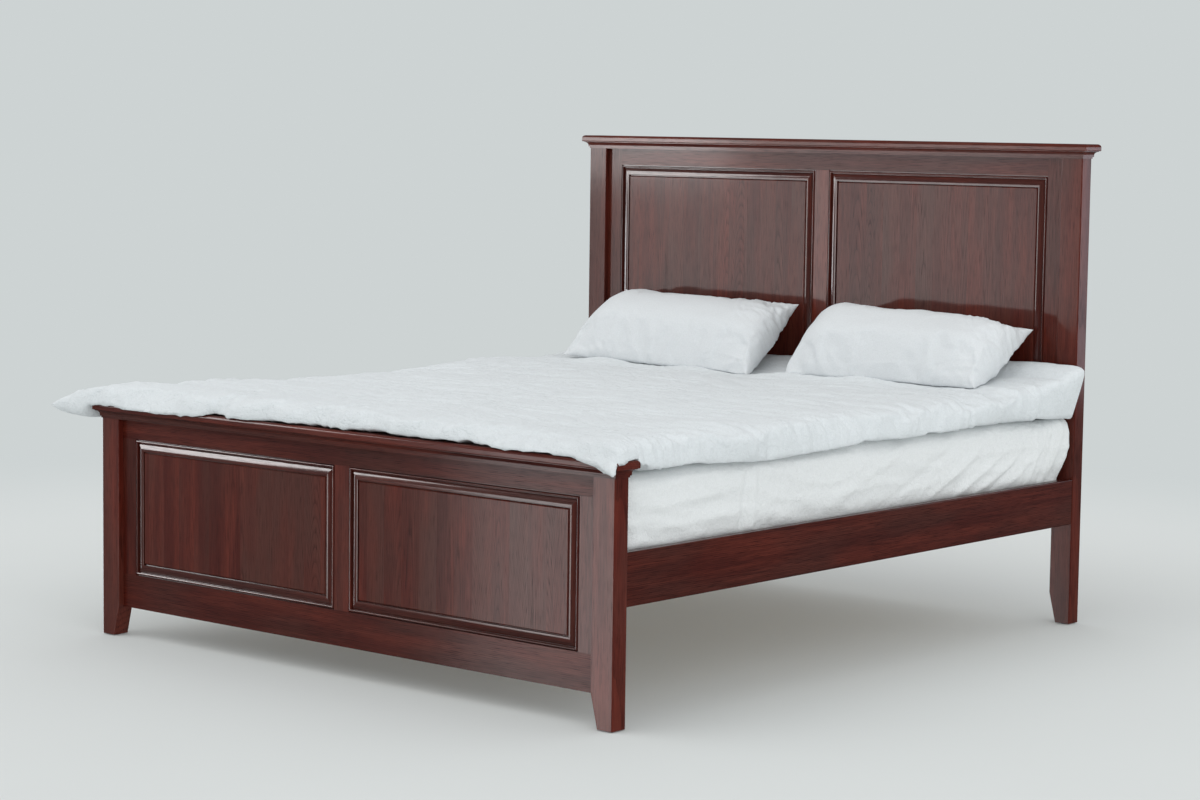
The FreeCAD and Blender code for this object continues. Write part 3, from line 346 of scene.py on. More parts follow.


# The tones set how light or dark the stain is on each piece at each end, so that each comes out as it
# looked in place. Besides the boards' own tone, they paint in part of the light and shade: the rails'
# darker look, and the differences between the same pieces at the head and at the foot.
OAK_PIECES = {
    # grain, seed, tone and coat at the head and at the foot, pieces
    "oak_post": ("z", 1, (0.86, 1.05), (RAIL_COAT, COAT), ["post_left", "post_right"]),
    "oak_stile": ("z", 2, (0.80, 0.90), (RAIL_COAT, COAT), ["stile_left", "stile_right"]),
    "oak_mid_stile": ("z", 3, (1.25, 1.00), (COAT, COAT), ["mid_stile"]),
    "oak_top_rail": ("x", 5, (0.92, 0.72), (RAIL_COAT, RAIL_COAT), ["top_rail"]),
    "oak_bottom_rail": ("x", 6, (1.08, 0.86), (RAIL_COAT, RAIL_COAT), ["bottom_rail"]),
    "oak_cap": ("x", 7, (1.31, 1.05), (COAT, COAT), ["cap"]),
    "oak_cap_moulding": ("x", 8, (1.06, 0.85), (COAT, COAT), ["cap_moulding"]),
}
SIDES = ("left", "right")
ENDS = ("head", "foot")

for name, (grain, seed, tones, coats, pieces) in OAK_PIECES.items():
    for end_number, end in enumerate(ENDS):
        finish = make_oak(f"{name}_{end}", f"{end}_{pieces[0]}", grain, seed + 20 * end_number,
                          tones[end_number], coats[end_number])
        for piece in pieces:
            give(f"{end}_{piece}", finish)
for end_number, end in enumerate(ENDS):
    for side_number, side in enumerate(SIDES):
        seed = 40 + 10 * end_number + side_number
        panel = f"{end}_panel_{side}"
        coat = PANEL_COATS[end_number]
        give(panel, make_oak(f"oak_{panel}", panel, "z", seed, 1.0, coat, staves=True))
        low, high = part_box(f"{end}_moulding_{side}")
        middle = (low + high) / 2
        trim = make_moulding_oak(f"oak_moulding_{end}_{side}", seed + 30, middle,
                                 (high.x - low.x) / 2, (high.z - low.z) / 2)
        give(f"{end}_moulding_{side}", trim)
# The side rails' low tone of 0.68 is painted shade: it darkens them for the weaker light that falls on
# the bed's sides.
side_oak_painted_shade = make_oak("oak_side_rail_painted_shade", "side_rail_right", "y", 11, 0.68)
for side in SIDES:
    give(f"side_rail_{side}", side_oak_painted_shade)
    give(f"slat_ledger_{side}", side_oak_painted_shade)
print("oak finishes", sum(1 for m in bpy.data.materials if m.name.startswith("oak_")))

# %% [markdown]
# ## Softwood, beech, steel and nylon
#
# What nobody sees when the bed is made still has a finish: planed softwood slats with wide rings,
# beech dowels with short flecks, zinc-plated steel, and glides of moulded nylon. The softwood
# uses the same idea of rings as the oak, without pores.

# %% Hidden materials
PINE_LIGHT = (0.66, 0.47, 0.27, 1)
PINE_RING = (0.47, 0.25, 0.10, 1)
BEECH_LIGHT = (0.60, 0.42, 0.27, 1)
BEECH_FLECK = (0.38, 0.22, 0.12, 1)
ZINC_DULL = (0.42, 0.43, 0.43, 1)
ZINC_BRIGHT = (0.66, 0.66, 0.64, 1)
NYLON_DARK = (0.020, 0.017, 0.015, 1)
NYLON_WORN = (0.055, 0.048, 0.042, 1)


def make_softwood(name, grain):
    finish = Finish(name)
    place = finish.place()
    along, across, depth = [place[i] for i in GRAIN_AXES[grain]]
    board = finish.chance((across * 8.0).floor())
    drift = finish.noise(finish.vector(along * 1.5 + board * 9.0, across * 9.0, depth * 9.0), 2.0)
    ring = ((across + board * 0.2) * 90.0 + drift * 16.0).fraction()
    fibre = finish.specks((along, across, depth), (30, 700, 700))
    tint = finish.blend((ring ** 3.0) * 0.7, PINE_LIGHT, PINE_RING)
    tint = finish.blend(fibre.between(0.45, 0.75, 0.0, 0.35), tint, PINE_RING)
    finish.set(base_color=tint, roughness=0.55 + fibre * 0.2)
    finish.bump(fibre + ring * 0.4, 0.0003, 0.5)
    return finish


def make_beech():
    finish = Finish("beech")
    fleck = finish.specks(finish.place(), (500, 500, 120))
    finish.set(base_color=finish.blend(fleck.between(0.5, 0.7), BEECH_LIGHT, BEECH_FLECK),
               roughness=0.5 + fleck * 0.2)
    finish.bump(fleck, 0.0002, 0.4)
    return finish


def make_zinc():
    finish = Finish("zinc_steel", metallic=1.0)
    place = finish.place()
    spangle = finish.specks(place, (240, 240, 240), 3, 0.65)
    scuff = finish.specks(place, (900, 60, 900))
    finish.set(base_color=finish.blend(spangle.between(0.35, 0.65), ZINC_DULL, ZINC_BRIGHT),
               roughness=0.30 + spangle * 0.15 + scuff * 0.12)
    finish.bump(scuff, 0.00008, 0.5)
    return finish


def make_nylon():
    finish = Finish("glide_nylon")
    place = finish.place()
    grain = finish.specks(place, (1400, 1400, 1400))
    worn = finish.specks(place, (90, 90, 90))
    finish.set(base_color=finish.blend(worn.between(0.4, 0.7), NYLON_DARK, NYLON_WORN),
               roughness=0.42 + grain * 0.2)
    finish.bump(grain, 0.0001, 0.4)
    return finish


slat_pine = make_softwood("slat_pine", "x")
beam_pine = make_softwood("beam_pine", "y")
leg_pine = make_softwood("leg_pine", "z")
zinc = make_zinc()
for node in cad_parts:
    if node.startswith("slat_") and node[5:].isdigit():
        give(node, slat_pine)
give("centre_beam", beam_pine)
give("centre_leg", leg_pine)
give("dowels", make_beech())
give("floor_glides", make_nylon())
for node in ("rail_hook_plates", "post_slot_plates", "beam_bracket_head", "beam_bracket_foot",
             "fitting_screws", "ledger_screws", "slat_screws"):
    give(node, zinc)
print("finishes in all", len(bpy.data.materials))

# %% [markdown]
# ## Studio
#
# A plain pale floor that sweeps up into a plain wall, as a photographer's paper does: some way
# out from the bed, all round it, the floor fades into an even glow of the wall's tone. A little of
# that glow is in the floor everywhere: painted light that stands in for the light that a real room
# bounces under the bed, and lightens the shade there. The light is soft and comes from all round,
# a little more from the upper left, with a broad fill from the right.
# Lacquer shows what it reflects more than how it is lit. So a few bright cards that only
# reflections see stand where the windows would be: two on the left, whose light the mouldings
# pick up, a far one in front that puts a sheen on the posts and panels that face it, and a small
# one behind. Reflections pass through the floor, which lets the cards reach below it.

# %% Floor and lights
FLOOR_SIZE = 120.0
FLOOR_TONE = (0.700, 0.722, 0.715, 1)
WALL_TONE = (0.612, 0.651, 0.653, 1)
SKY_LIGHT = (0.775, 0.785, 0.790, 1)
SKY_REFLECTED = (0.13, 0.135, 0.14, 1)
SWEEP = (2.3, 4.6)
# how much of the wall-tone glow the floor has everywhere: painted light that lightens the shade under
# the bed
PAINTED_BOUNCE_GLOW = 0.14
MOTTLE = 1.03
SUNS = [
    # name, the way its light goes, strength, width in degrees, tone
    ("key_sun", (0.50, 0.55, -1.0), 0.50, 60, (1.0, 0.995, 0.985)),
    ("fill_sun", (-1.0, 0.35, -0.28), 1.05, 70, (0.98, 0.995, 1.0)),
]
CARDS = [
    # name, place, the way it faces, width and height, glow, tone
    ("left_window", (-6.5, -3.9, 3.15), (1, 0, 0), (5.8, 4.1), 9.0, (1, 1, 1)),
    ("left_low_window", (-6.5, 0.2, -0.2), (1, 0, 0), (5.4, 2.4), 7.0, (0.93, 0.96, 1.0)),
    ("front_window", (-35.6, -48.3, -5.0), (0.609, 0.793, 0), (12.2, 18.0), 4.3, (1, 1, 1)),
    ("rear_window", (5.0, 7.9, 0.9), (-0.51, -0.86, 0), (2.4, 1.9), 3.2, (0.86, 0.90, 1.0)),
]


def make_floor():
    half = FLOOR_SIZE / 2
    mesh = bpy.data.meshes.new("studio_floor")
    corners = [(-half, -half, 0), (half, -half, 0), (half, half, 0), (-half, half, 0)]
    mesh.from_pydata(corners, [], [(0, 1, 2, 3)])
    floor = show(bpy.data.objects.new("studio_floor", mesh))
    floor.visible_glossy = False
    floor.visible_shadow = False
    finish = Finish("floor_paint", roughness=0.9, specular_ior_level=0.0)
    x, y, z = finish.place()
    mottle = finish.noise(finish.vector(x * 1.3, y * 1.3, z), 4.0)
    paler = tuple(c * MOTTLE for c in FLOOR_TONE[:3]) + (1,)
    finish.set(base_color=finish.blend(mottle, FLOOR_TONE, paler))
    away = (x * x + y * y) ** 0.5
    # the floor glows with the wall's tone: a little everywhere as painted bounce light, and wholly past
    # the sweep as the backdrop
    finish.fade_to(WALL_TONE, away.between(*SWEEP, PAINTED_BOUNCE_GLOW, 1.0))
    mesh.materials.append(finish.material)
    floor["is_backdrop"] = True


def make_sky():
    world = bpy.data.worlds.new("studio_sky")
    world.use_nodes = True
    tree = world.node_tree
    tree.nodes.clear()
    ray = tree.nodes.new("ShaderNodeLightPath")
    output = tree.nodes.new("ShaderNodeOutputWorld")
    shader = None
    seen_by = {SKY_LIGHT: None, SKY_REFLECTED: "Is Glossy Ray", WALL_TONE: "Is Camera Ray"}
    for tone, kind in seen_by.items():
        background = tree.nodes.new("ShaderNodeBackground")
        background.inputs["Color"].default_value = tone
        if shader is None:
            shader = background
            continue
        choice = tree.nodes.new("ShaderNodeMixShader")
        tree.links.new(ray.outputs[kind], choice.inputs[0])
        tree.links.new(shader.outputs[0], choice.inputs[1])
        tree.links.new(background.outputs[0], choice.inputs[2])
        shader = choice
    tree.links.new(shader.outputs[0], output.inputs["Surface"])
    bpy.context.scene.world = world


def make_light(kind, name, way, energy, tone):
    data = bpy.data.lights.new(name, kind)
    data.energy = energy
    data.color = tone
    light = show(bpy.data.objects.new(name, data))
    light.rotation_euler = Vector(way).to_track_quat("-Z", "Y").to_euler()
    return light


def make_sun(name, way, strength, angle, tone):
    sun = make_light("SUN", name, way, strength, tone)
    sun.data.angle = math.radians(angle)
    sun.visible_glossy = False


def make_card(name, place, way, size, glow, tone):
    """A bright card that only reflections see; glow is its brightness beside a white wall's 1."""
    card = make_light("AREA", name, way, glow * math.pi * size[0] * size[1], tone)
    card.data.shape = "RECTANGLE"
    card.data.size, card.data.size_y = size
    card.location = place
    card.visible_camera = False
    card.visible_diffuse = False


make_floor()
make_sky()
for sun in SUNS:
    make_sun(*sun)
for card in CARDS:
    make_card(*card)
bpy.context.scene.view_settings.view_transform = "Standard"
bpy.context.scene.view_settings.look = "None"

# %% [markdown]
# ## Cotton
#
# The sheet, the duvet cover and the pillowcases are plain white cotton. From a few metres the
# threads can't be told apart, but they break up the light, and the cloth is never quite smooth
# between its folds. So the finish has a fine plain weave, a little unevenness in the yarn and
# faint creases left by washing, all as bump and a small change of tone.

# %% Cotton
THREADS_PER_METRE = 1600.0
YARN_SHADE = 0.05


def make_cotton(name, tone, crease):
    finish = Finish(name, sheen_weight=0.12, sheen_roughness=0.4, specular_ior_level=0.25)
    x, y, z = finish.place()
    span = math.pi * THREADS_PER_METRE
    weave = ((x + z) * span).sine() * ((y + z * 0.5) * span).sine()
    slub = finish.specks((x, y, z), (260, 260, 260), 3, 0.6)
    wash = finish.specks((x, y, z), (26, 34, 30), 4, 0.62)
    fold = (wash - 0.5).size().between(0.0, 0.10)
    darker = tuple(c * (1 - YARN_SHADE) for c in tone[:3]) + (1,)
    body = finish.blend(slub.between(0.35, 0.65), darker, tone)
    finish.set(base_color=body, roughness=0.80 + slub * 0.10)
    finish.bump(weave * 0.10 + slub * 0.5 + fold * crease * 4.0, 0.0006, 0.6)
    return finish


DUVET_WHITE = (0.722, 0.758, 0.776, 1)
PILLOW_WHITE = (0.722, 0.749, 0.765, 1)
SHEET_WHITE = (0.770, 0.790, 0.793, 1)
duvet_cotton = make_cotton("duvet_cotton", DUVET_WHITE, 0.7)
pillow_cotton = make_cotton("pillow_cotton", PILLOW_WHITE, 0.25)
sheet_cotton = make_cotton("sheet_cotton", SHEET_WHITE, 0.5)
print("cotton", THREADS_PER_METRE, "threads per metre")

# %% [markdown]
# ## How soft pieces are made
#
# A soft piece has two scales. Its large form, where it lies, how thick it is and where its edge
# runs, follows what carries it, so that is worked out point by point on a grid. Its small form,
# the puckers along a seam and the shallow wrinkles, comes from the cloth having more area than
# the space it fills. A cloth simulation finds the middling ones: the cover is made a few percent
# too large, air pressure pushes it out, and each point may move only a little from where it
# started. The finest wrinkles are narrower than the grid of the simulation, so they are pressed
# into the smoothed mesh afterwards.

# %% Helpers for soft pieces
FOLD_DEPTH = 3.2
FOLD_POWER = 0.7
CLOTH = {
    "quality": 6, "mass": 0.25, "tension_stiffness": 14.0, "compression_stiffness": 14.0,
    "shear_stiffness": 6.0, "air_damping": 2.0, "use_pressure": True, "pin_stiffness": 1.0,
}


def smooth_line(points):
    """A smooth curve through points (place, value) in millimetres, as a function of the place."""
    places, values = np.array(points).T / 1000
    slopes = np.gradient(values, places)

    def value_at(place):
        place = np.clip(place, places[0], places[-1])
        i = np.clip(np.searchsorted(places, place) - 1, 0, len(places) - 2)
        span = places[i + 1] - places[i]
        t = (place - places[i]) / span
        rest = 1 - t
        return (values[i] * (1 + 2 * t) * rest ** 2 + values[i + 1] * t ** 2 * (3 - 2 * t)
                + span * slopes[i] * t * rest ** 2 - span * slopes[i + 1] * t ** 2 * rest)

    return value_at


def clouds(points, size, seed):
    """Smooth noise from -1 to 1 at each point, with lumps of that size (one number or three)."""
    scaled = points / np.array(size) + seed * 7.31
    return np.array([noise.noise(Vector(row)) for row in scaled])


def folds(points, spacing, seed):
    """Narrow crests, 1 high, with broad valleys between them that go to about -1.5."""
    return 1 - FOLD_DEPTH * np.abs(clouds(points, spacing, seed)) ** FOLD_POWER


def smooth_step(low, high, value):
    share = np.clip((value - low) / (high - low), 0, 1)
    return share * share * (3 - 2 * share)


def new_piece(name, points, faces, finish):
    mesh = bpy.data.meshes.new(name)
    mesh.from_pydata([tuple(row) for row in points], [], faces)
    mesh.validate()
    mesh.update()
    mesh.polygons.foreach_set("use_smooth", [True] * len(mesh.polygons))
    mesh.materials.append(finish.material)
    return show(bpy.data.objects.new(name, mesh))


def rows_of(items, name):
    flat = np.zeros(len(items) * 3)
    items.foreach_get(name, flat)
    return flat.reshape(-1, 3)


def points_of(mesh):
    return rows_of(mesh.vertices, "co")


def normals_of(mesh):
    return rows_of(mesh.vertex_normals, "vector")


def set_points(mesh, points):
    mesh.vertices.foreach_set("co", np.asarray(points, float).ravel())
    mesh.update()


def shell_faces(columns, rows):
    """Faces of a closed shell: an upper grid, and a lower one that shares its rim."""
    upper = np.arange(columns * rows).reshape(rows, columns)
    lower = upper.copy()
    inner = (rows - 2) * (columns - 2)
    lower[1:-1, 1:-1] = columns * rows + np.arange(inner).reshape(rows - 2, columns - 2)
    faces = []
    for grid, flipped in ((upper, False), (lower, True)):
        corners = [grid[:-1, :-1], grid[:-1, 1:], grid[1:, 1:], grid[1:, :-1]]
        if flipped:
            corners.reverse()
        faces += np.stack(corners, -1).reshape(-1, 4).tolist()
    return faces


def shell_points(upper, lower):
    return np.concatenate([upper.reshape(-1, 3), lower[1:-1, 1:-1].reshape(-1, 3)])


def shell_hold(columns, rows, top, rim, bottom):
    """How firmly each point of a shell is held: top, rim and underside, and its corners wholly."""
    hold = np.full((rows, columns), top)
    hold[[0, -1], :] = rim
    hold[:, [0, -1]] = rim
    for corner in (hold[:2, :2], hold[:2, -2:], hold[-2:, :2], hold[-2:, -2:]):
        corner[:] = 1.0
    inner = (rows - 2) * (columns - 2)
    return np.concatenate([hold.ravel(), np.full(inner, bottom)])


def settle_cloth(piece, hold, frames, pressure, slack, cap, bending=0.3):
    """Simulates the piece as inflated cloth without weight, and keeps the result in its mesh.

    slack is how much larger the cover is than its shape, cap how far a point may move, and hold
    how firmly each point is kept in place, from 0 to 1.
    """
    scene = bpy.context.scene
    start = points_of(piece.data)
    cloth = piece.modifiers.new("cloth", "CLOTH")
    cloth.point_cache.frame_start = 1
    cloth.point_cache.frame_end = frames
    settings = cloth.settings
    for key, value in CLOTH.items():
        setattr(settings, key, value)
    settings.bending_stiffness = bending
    settings.uniform_pressure_force = pressure
    settings.shrink_min = -slack
    settings.effector_weights.gravity = 0.0
    cloth.collision_settings.use_collision = False
    group = piece.vertex_groups.new(name="held")
    for strength in np.unique(hold):
        members = np.flatnonzero(hold == strength)
        group.add([int(i) for i in members], float(strength), "REPLACE")
    settings.vertex_group_mass = "held"
    for number in range(1, frames + 1):
        scene.frame_set(number)
    settled = piece.evaluated_get(bpy.context.evaluated_depsgraph_get())
    moved = points_of(settled.to_mesh()) - start
    settled.to_mesh_clear()
    far = np.linalg.norm(moved, axis=1, keepdims=True)
    moved *= np.minimum(1.0, cap / np.maximum(far, 1e-9))
    piece.modifiers.remove(cloth)
    scene.frame_set(1)
    set_points(piece.data, start + moved)
    print(piece.name, "points", len(start), "moved by up to", round(float(far.max()) * 1000), "mm")


def subdivide(piece):
    """Puts one subdivision into the mesh, so that fine wrinkles can be pressed into its points."""
    modifier = piece.modifiers.new("finer", "SUBSURF")
    modifier.levels = modifier.render_levels = 1
    finer = piece.evaluated_get(bpy.context.evaluated_depsgraph_get())
    mesh = bpy.data.meshes.new_from_object(finer)
    piece.modifiers.remove(modifier)
    piece.data = mesh
    mesh.name = piece.name
    return points_of(mesh)


print("soft helpers ready")

# %% [markdown]
# ## Duvet
#
# The duvet is a thick quilt of about two metres square in a loose cover, sewn shut along a seam
# that runs all round. Over the mattress it is as thick as a hand is wide, and its edge rounds down
# to the seam, which runs close to the mattress's top at the sides. At the foot it laps over the
# cap, and its left corner sticks out past the post. One grid of points is laid from seam to seam
# for the upper cloth and one for the lower.

# %% Where the duvet lies
MATTRESS_LOW, MATTRESS_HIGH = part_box("mattress")
CAP_LOW, CAP_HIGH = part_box("foot_cap")
HEAD_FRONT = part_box("head_post_left")[0].y
CLEAR = 0.0012
DUVET_COLUMNS = 144
DUVET_ROWS = 144
TIP = (-1.158, -1.078)
FRONT_RIGHT = (0.962, -1.097)
REAR = 0.987
REAR_LEFT = -0.965
REAR_RIGHT = 0.948
FRONT_SEAM_PLACE = smooth_line([
    (-1158, -1078), (-1040, -1086), (-900, -1090), (-660, -1090), (-510, -1088), (-452, -1070),
    (-400, -1086), (-300, -1084), (-260, -1074), (-180, -1083), (-79, -1068), (20, -1079), (112, -1066),
    (210, -1079), (300, -1074), (380, -1080), (447, -1070), (489, -1072), (590, -1086), (750, -1086),
    (812, -1080), (870, -1090), (962, -1097)])
FRONT_SEAM_HEIGHT = smooth_line([
    (-1158, 634), (-1040, 634), (-885, 645), (-790, 638), (-660, 638), (-510, 645), (-452, 657),
    (-410, 650), (-300, 652), (-260, 658), (-180, 655), (-79, 661), (20, 659), (112, 664), (210, 660),
    (300, 662), (410, 659), (447, 662), (489, 661), (590, 652), (700, 654), (812, 653), (853, 642),
    (902, 634), (930, 624), (962, 612)])
RIGHT_SEAM_PLACE = smooth_line([
    (-1097, 962), (-1050, 966), (-980, 952), (-880, 938), (-600, 930), (100, 930), (500, 934),
    (800, 938), (987, 948)])
RIGHT_SEAM_HEIGHT = smooth_line([
    (-1097, 612), (-1060, 642), (-1010, 642), (-950, 632), (-900, 627), (-720, 619), (-610, 607),
    (-420, 596), (-300, 601), (-90, 611), (55, 625), (150, 614), (285, 617), (440, 621), (580, 633),
    (670, 638), (800, 623), (930, 611), (987, 607)])
LEFT_SEAM_PLACE = smooth_line([
    (-1078, -1158), (-1030, -1112), (-950, -1060), (-850, -1018), (-700, -988), (-300, -968),
    (300, -972), (987, -965)])
LEFT_SEAM_HEIGHT = smooth_line([
    (-1078, 634), (-1000, 640), (-900, 636), (-750, 620), (-300, 616), (987, 618)])
REAR_SEAM_HEIGHT = smooth_line([(-965, 618), (-500, 640), (500, 640), (948, 607)])
LEFT_CREST = smooth_line([
    (-1100, 690), (-1010, 702), (-925, 697), (-855, 687), (-745, 690), (-600, 690), (-415, 676),
    (-200, 676), (0, 674), (120, 678), (270, 684), (500, 690), (590, 688), (800, 686), (987, 700)])
MIDDLE_CREST = smooth_line([
    (-1100, 694), (-1010, 702), (-900, 700), (-600, 694), (-200, 690), (200, 692), (500, 692),
    (690, 680), (800, 690), (900, 722), (987, 740)])
RIGHT_CREST = smooth_line([
    (-1100, 690), (-1010, 694), (-900, 690), (-600, 686), (-200, 690), (200, 692), (550, 696),
    (700, 706), (780, 710), (860, 716), (900, 726), (940, 762), (987, 794)])
STUFFED_END = smooth_line([(-1000, 840), (700, 850), (820, 870), (900, 880), (940, 897), (970, 930)])
PRESSED = (-0.58, -0.21, 0.16, 0.42)
PRESSED_RISE = 0.018
PRESSED_LINE = 0.650
TIP_SAG = 0.050
SIDE_SAG = 0.018
RIGHT_ROUND = smooth_line([(-1100, 100), (600, 115), (800, 85), (900, 50), (990, 30)])
RIGHT_BULGE = smooth_line([(-1100, 12), (-900, 30), (600, 34), (850, 52), (990, 66)])
# how far in from the seam the edges have risen
SLACK_REACH, LEFT_REACH, FRONT_REACH, REAR_REACH, UNDER_REACH = 0.21, 0.12, 0.085, 0.02, 0.07
LEFT_BULGE = 0.016
FRONT_BULGE = 0.010


def rounded_rise(distance, reach):
    """How far a padded edge has risen at that distance from its seam, from 0 to 1."""
    share = np.clip(distance / reach, 0, 1)
    return (1 - (1 - share) ** 2.4) ** (1 / 2.4)


def slow_rise(distance, reach):
    """How far a slack padded edge has risen at that distance from its seam, from 0 to 1."""
    return np.sin(np.pi / 2 * np.clip(distance / reach, 0, 1)) ** 0.7


def even_grid(columns, rows, closer=0.035):
    """Shares from 0 to 1 along both ways, a little closer near the rim."""
    across = np.linspace(0, 1, columns)
    along = np.linspace(0, 1, rows)
    return np.meshgrid(across - closer * np.sin(2 * np.pi * across),
                       along - closer * np.sin(2 * np.pi * along))


def line_points(start, end, share, place, height):
    """The seam's points along X, from start to end, by its place and height."""
    x = start + share * (end - start)
    return np.stack([x, place(x), height(x)], -1)


def duvet_seam(u, v):
    """Where the seam surface lies: the rim's four lines, blended across the duvet."""
    front = line_points(TIP[0], FRONT_RIGHT[0], u, FRONT_SEAM_PLACE, FRONT_SEAM_HEIGHT)
    rear = line_points(REAR_LEFT, REAR_RIGHT, u, lambda x: np.full_like(x, REAR), REAR_SEAM_HEIGHT)
    left = line_points(TIP[1], REAR, v, LEFT_SEAM_PLACE, LEFT_SEAM_HEIGHT)[..., [1, 0, 2]]
    right = line_points(FRONT_RIGHT[1], REAR, v, RIGHT_SEAM_PLACE, RIGHT_SEAM_HEIGHT)[..., [1, 0, 2]]
    u, v = u[..., None], v[..., None]
    corner = ((1 - u) * (1 - v) * left[0, 0] + u * (1 - v) * right[0, -1]
              + (1 - u) * v * left[-1, 0] + u * v * right[-1, -1])
    return (1 - u) * left + u * right + (1 - v) * front + v * rear - corner


def bearing_height(x, y):
    """The top of what carries the duvet: the mattress, the foot's cap, and a bridge between them.

    Past the left side nothing carries it, and it sags, most of all at the corner.
    """
    share = 1 - smooth_step(CAP_HIGH.y, MATTRESS_LOW.y + 0.07, y)
    edge = MATTRESS_HIGH.x + share * (CAP_HIGH.x - MATTRESS_HIGH.x)
    sag = (SIDE_SAG + share * (TIP_SAG - SIDE_SAG)) * smooth_step(edge + 0.002, edge + 0.030, -x)
    return MATTRESS_HIGH.z + CLEAR + share * (CAP_HIGH.z - MATTRESS_HIGH.z) - sag


def crest_height(x, y):
    share = np.clip((x + 1) / 2, 0, 1)
    left = np.clip(1 - 2 * share, 0, 1)
    right = np.clip(2 * share - 1, 0, 1)
    flat = np.stack([x, y, 0 * x], -1).reshape(-1, 3)
    lumps = 0.006 * clouds(flat, (0.42, 0.30, 1), 1) + 0.005 * clouds(flat, (0.17, 0.12, 1), 2)
    line = LEFT_CREST(y) * left + MIDDLE_CREST(y) * (1 - left - right) + RIGHT_CREST(y) * right
    beside_pillows = np.sum([np.exp(-((x - centre) / 0.12) ** 2) for centre in PRESSED], axis=0)
    line += PRESSED_RISE * beside_pillows * np.exp(-((y - PRESSED_LINE) / 0.05) ** 2)
    end = STUFFED_END(x)
    line -= 0.010 * smooth_step(end, end + 0.022, y) * smooth_step(0.60, 0.75, x)
    return line + lumps.reshape(x.shape)


def duvet_form():
    """The upper and lower cloth as grids of points."""
    u, v = even_grid(DUVET_COLUMNS, DUVET_ROWS)
    seam = duvet_seam(u, v)
    x, y, z = np.moveaxis(seam, -1, 0)
    width = RIGHT_SEAM_PLACE(y) - LEFT_SEAM_PLACE(y)
    length = REAR - FRONT_SEAM_PLACE(x)
    left, right, front, rear = u * width, (1 - u) * width, v * length, (1 - v) * length
    past_tip = smooth_step(0.10, 0.42, front)
    at_tip, beyond = slow_rise(left, SLACK_REACH), rounded_rise(left, LEFT_REACH)
    rises = [at_tip * (1 - past_tip) + beyond * past_tip, rounded_rise(right, RIGHT_ROUND(y)),
             rounded_rise(front, FRONT_REACH), rounded_rise(rear, REAR_REACH)]
    rise = np.prod(rises, axis=0)

    def bulge(distance, reach):
        share = np.clip(distance / reach, 0, 1)
        return 6.75 * share * (1 - share) ** 2

    upper, lower = seam.copy(), seam.copy()
    ends = rounded_rise(front, 0.06) * rounded_rise(rear, 0.01)
    upper[..., 0] += RIGHT_BULGE(y) * bulge(right, RIGHT_ROUND(y) * 1.6) * ends
    upper[..., 0] -= LEFT_BULGE * bulge(left, 0.19) * rounded_rise(front, 0.16)
    upper[..., 1] -= FRONT_BULGE * bulge(front, 0.13) * rises[0] * rises[1]
    upper[..., 2] = z + (crest_height(x, y) - z) * rise
    lower_rise = np.prod([rounded_rise(d, UNDER_REACH) for d in (left, right, front, rear)], axis=0)
    lower[..., 2] = np.minimum(z + (bearing_height(x, y) - z) * lower_rise, upper[..., 2] - 0.001)
    return upper, lower


def over_box(points, low, high, more_x, more_y):
    x, y, _ = points.T
    return (np.abs(x) < high.x + more_x) & (y > low.y - more_y) & (y < high.y + more_y)


def keep_clear(points):
    """Lifts or pushes points out of the mattress, the foot's cap and the headboard."""
    x, y, z = points.T
    sunk = over_box(points, CAP_LOW, CAP_HIGH, CLEAR, CLEAR) & (z < CAP_HIGH.z + CLEAR)
    in_front = sunk & (y < CAP_LOW.y + 0.010) & (z < CAP_HIGH.z - 0.004)
    points[in_front, 1] = CAP_LOW.y - CLEAR
    points[sunk & ~in_front, 2] = CAP_HIGH.z + CLEAR
    low = over_box(points, MATTRESS_LOW, MATTRESS_HIGH, -0.03, 0) & (z < MATTRESS_HIGH.z + CLEAR)
    points[low, 2] = MATTRESS_HIGH.z + CLEAR
    points[:, 1] = np.minimum(points[:, 1], HEAD_FRONT - CLEAR)
    return points


print("duvet from", TIP, "to", (REAR_RIGHT, REAR))

# %% [markdown]
# The cover's small wrinkles run in from the seam, over the rounded edge and on across the top,
# an arm's length long and bent a little, as cloth drawn towards a seam does. Behind the pillows
# the cover has no filling, so it is smooth there.

# %% Duvet
DUVET_WRINKLES = [
    # height, spacing along x, y and z, seed: right side, front, open top, long and short ones
    (0.0072, (0.42, 0.050, 0.42), 31),
    (0.0044, (0.050, 0.40, 0.40), 32),
    (0.0036, (0.50, 0.060, 0.5), 33),
    (0.0020, (0.26, 0.026, 0.26), 34),
    (0.0010, 0.060, 35),
]


def duvet_wrinkles(points):
    """How far the cover stands out at each point."""
    x, y, z = points.T
    upper = smooth_step(0.60, 0.63, z)
    end = STUFFED_END(x)
    stuffed = 1 - smooth_step(end - 0.05, end, y)
    flat = points * np.array([1, 1, 0.7])
    bend = np.stack([clouds(flat, 0.45, 21), clouds(flat, 0.32, 22), 0 * x], -1)
    along = flat + bend * np.array([0.10, 0.13, 0])
    near_right = smooth_step(0.55, 0.90, x) * stuffed
    near_front = (1 - smooth_step(-1.05, -0.86, y)) * (1 - near_right)
    patches = 0.55 + 0.45 * clouds(flat, 0.23, 36)
    open_top = (1 - near_right) * (1 - near_front) * stuffed
    shares = [near_right * patches, near_front * patches, open_top * patches,
              0.15 + 0.85 * stuffed, 0.35 + 0.65 * stuffed]
    height = sum(rise * share * folds(along, spacing, seed)
                 for (rise, spacing, seed), share in zip(DUVET_WRINKLES, shares))
    return height * upper * smooth_step(-1.16, -1.0, x)


